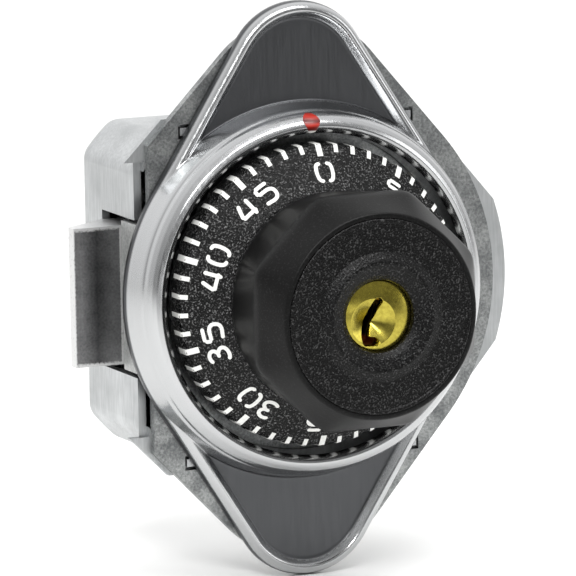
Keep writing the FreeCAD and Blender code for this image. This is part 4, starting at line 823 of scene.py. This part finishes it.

# %% [markdown]
# The lock stands on a plain pale floor.  The floor is one wide sheet at the lock's lowest
# point.  Its colour turns grey far in front, painted shade where a studio floor lies beyond the
# lights, which keeps the black face and the sunk fields dark.

# %% Floor
floor_finish, tree, shader, where = finish("pale_studio_floor", Roughness=0.7)
cloud = node(tree, "TexNoise", {"Vector": where, "Scale": per(400.0), "Detail": 2.0}).outputs[0]
paint = node(tree, "Mix", {0: cloud, 6: colour("#f6f6f5"), 7: colour("#fcfcfb")},
             data_type="RGBA").outputs[2]
front = node(tree, "SeparateXYZ", {0: where}).outputs["Y"]
# Grey far in front is painted shade: the floor's falloff of light, painted into its colour.
painted_falloff = node(tree, "MapRange", {"Value": front, "From Min": -0.06, "From Max": -0.35}).outputs[0]
paint = node(tree, "Mix", {0: painted_falloff, 6: paint, 7: colour("#787878")}, data_type="RGBA").outputs[2]
tree.links.new(paint, shader.inputs["Base Color"])
FLOOR_Z = cad_box[0][2]
reach = np.linspace(-4.0, 4.0, 3)
sheet_x, sheet_y = np.meshgrid(reach, reach, indexing="ij")
sheet = np.stack([sheet_x, sheet_y, np.full_like(sheet_x, FLOOR_Z)], axis=-1)
floor_mesh = bpy.data.meshes.new("floor")
floor_mesh.from_pydata(sheet.reshape(-1, 3).tolist(), [], grid_faces(3, 3, 0, False, False).tolist())
floor_mesh.materials.append(floor_finish)
floor = bpy.data.objects.new("floor", floor_mesh)
bpy.context.scene.collection.objects.link(floor)

# %% [markdown]
# Polished metal shows what stands round it, so the light matters more than the metal's own
# colour.  The room is bright behind and above the lock and dim behind the camera, which gives
# the ring its dark and light bands.  Four soft boxes add the broad highlights.

# %% Room and soft lights
world = bpy.data.worlds.new("studio")
bpy.context.scene.world = world
world.use_nodes = True
tree = world.node_tree
background = next(item for item in tree.nodes if item.type == "BACKGROUND")
way = node(tree, "SeparateXYZ", {0: node(tree, "TexCoord").outputs["Generated"]})
behind = node(tree, "MapRange", {"Value": way.outputs["Y"], "From Min": -0.6, "From Max": 0.7,
                                 "To Min": 0.07, "To Max": 1.0}).outputs[0]
over = node(tree, "MapRange", {"Value": way.outputs["Z"], "From Min": -0.2, "From Max": 0.9,
                               "To Min": 0.0, "To Max": 0.55}).outputs[0]
bright = node(tree, "Math", {0: behind, 1: over}, operation="ADD").outputs[0]
tree.links.new(bright, background.inputs["Color"])


def soft_box(name, place_mm, size_mm, power, aim_mm=(0, -10, 0)):
    """A rectangular light that faces the lock."""
    light = bpy.data.lights.new(name, "AREA")
    light.shape = "RECTANGLE"
    light.size, light.size_y = size_mm[0] * MM, size_mm[1] * MM
    light.energy = power
    lamp = bpy.data.objects.new(name, light)
    bpy.context.scene.collection.objects.link(lamp)
    lamp.location = np.array(place_mm) * MM
    toward = (np.array(aim_mm) - place_mm) * MM
    lamp.rotation_euler = Vector(toward).to_track_quat("-Z", "Y").to_euler()


soft_box("key_box", (-420, -650, 620), (260, 200), 4.5)
soft_box("top_box", (60, -300, 560), (420, 260), 2.5, (0, -30, 0))
soft_box("side_box", (700, -420, 150), (300, 600), 1.2)
soft_box("low_box", (-100, -800, -20), (700, 120), 0.4)
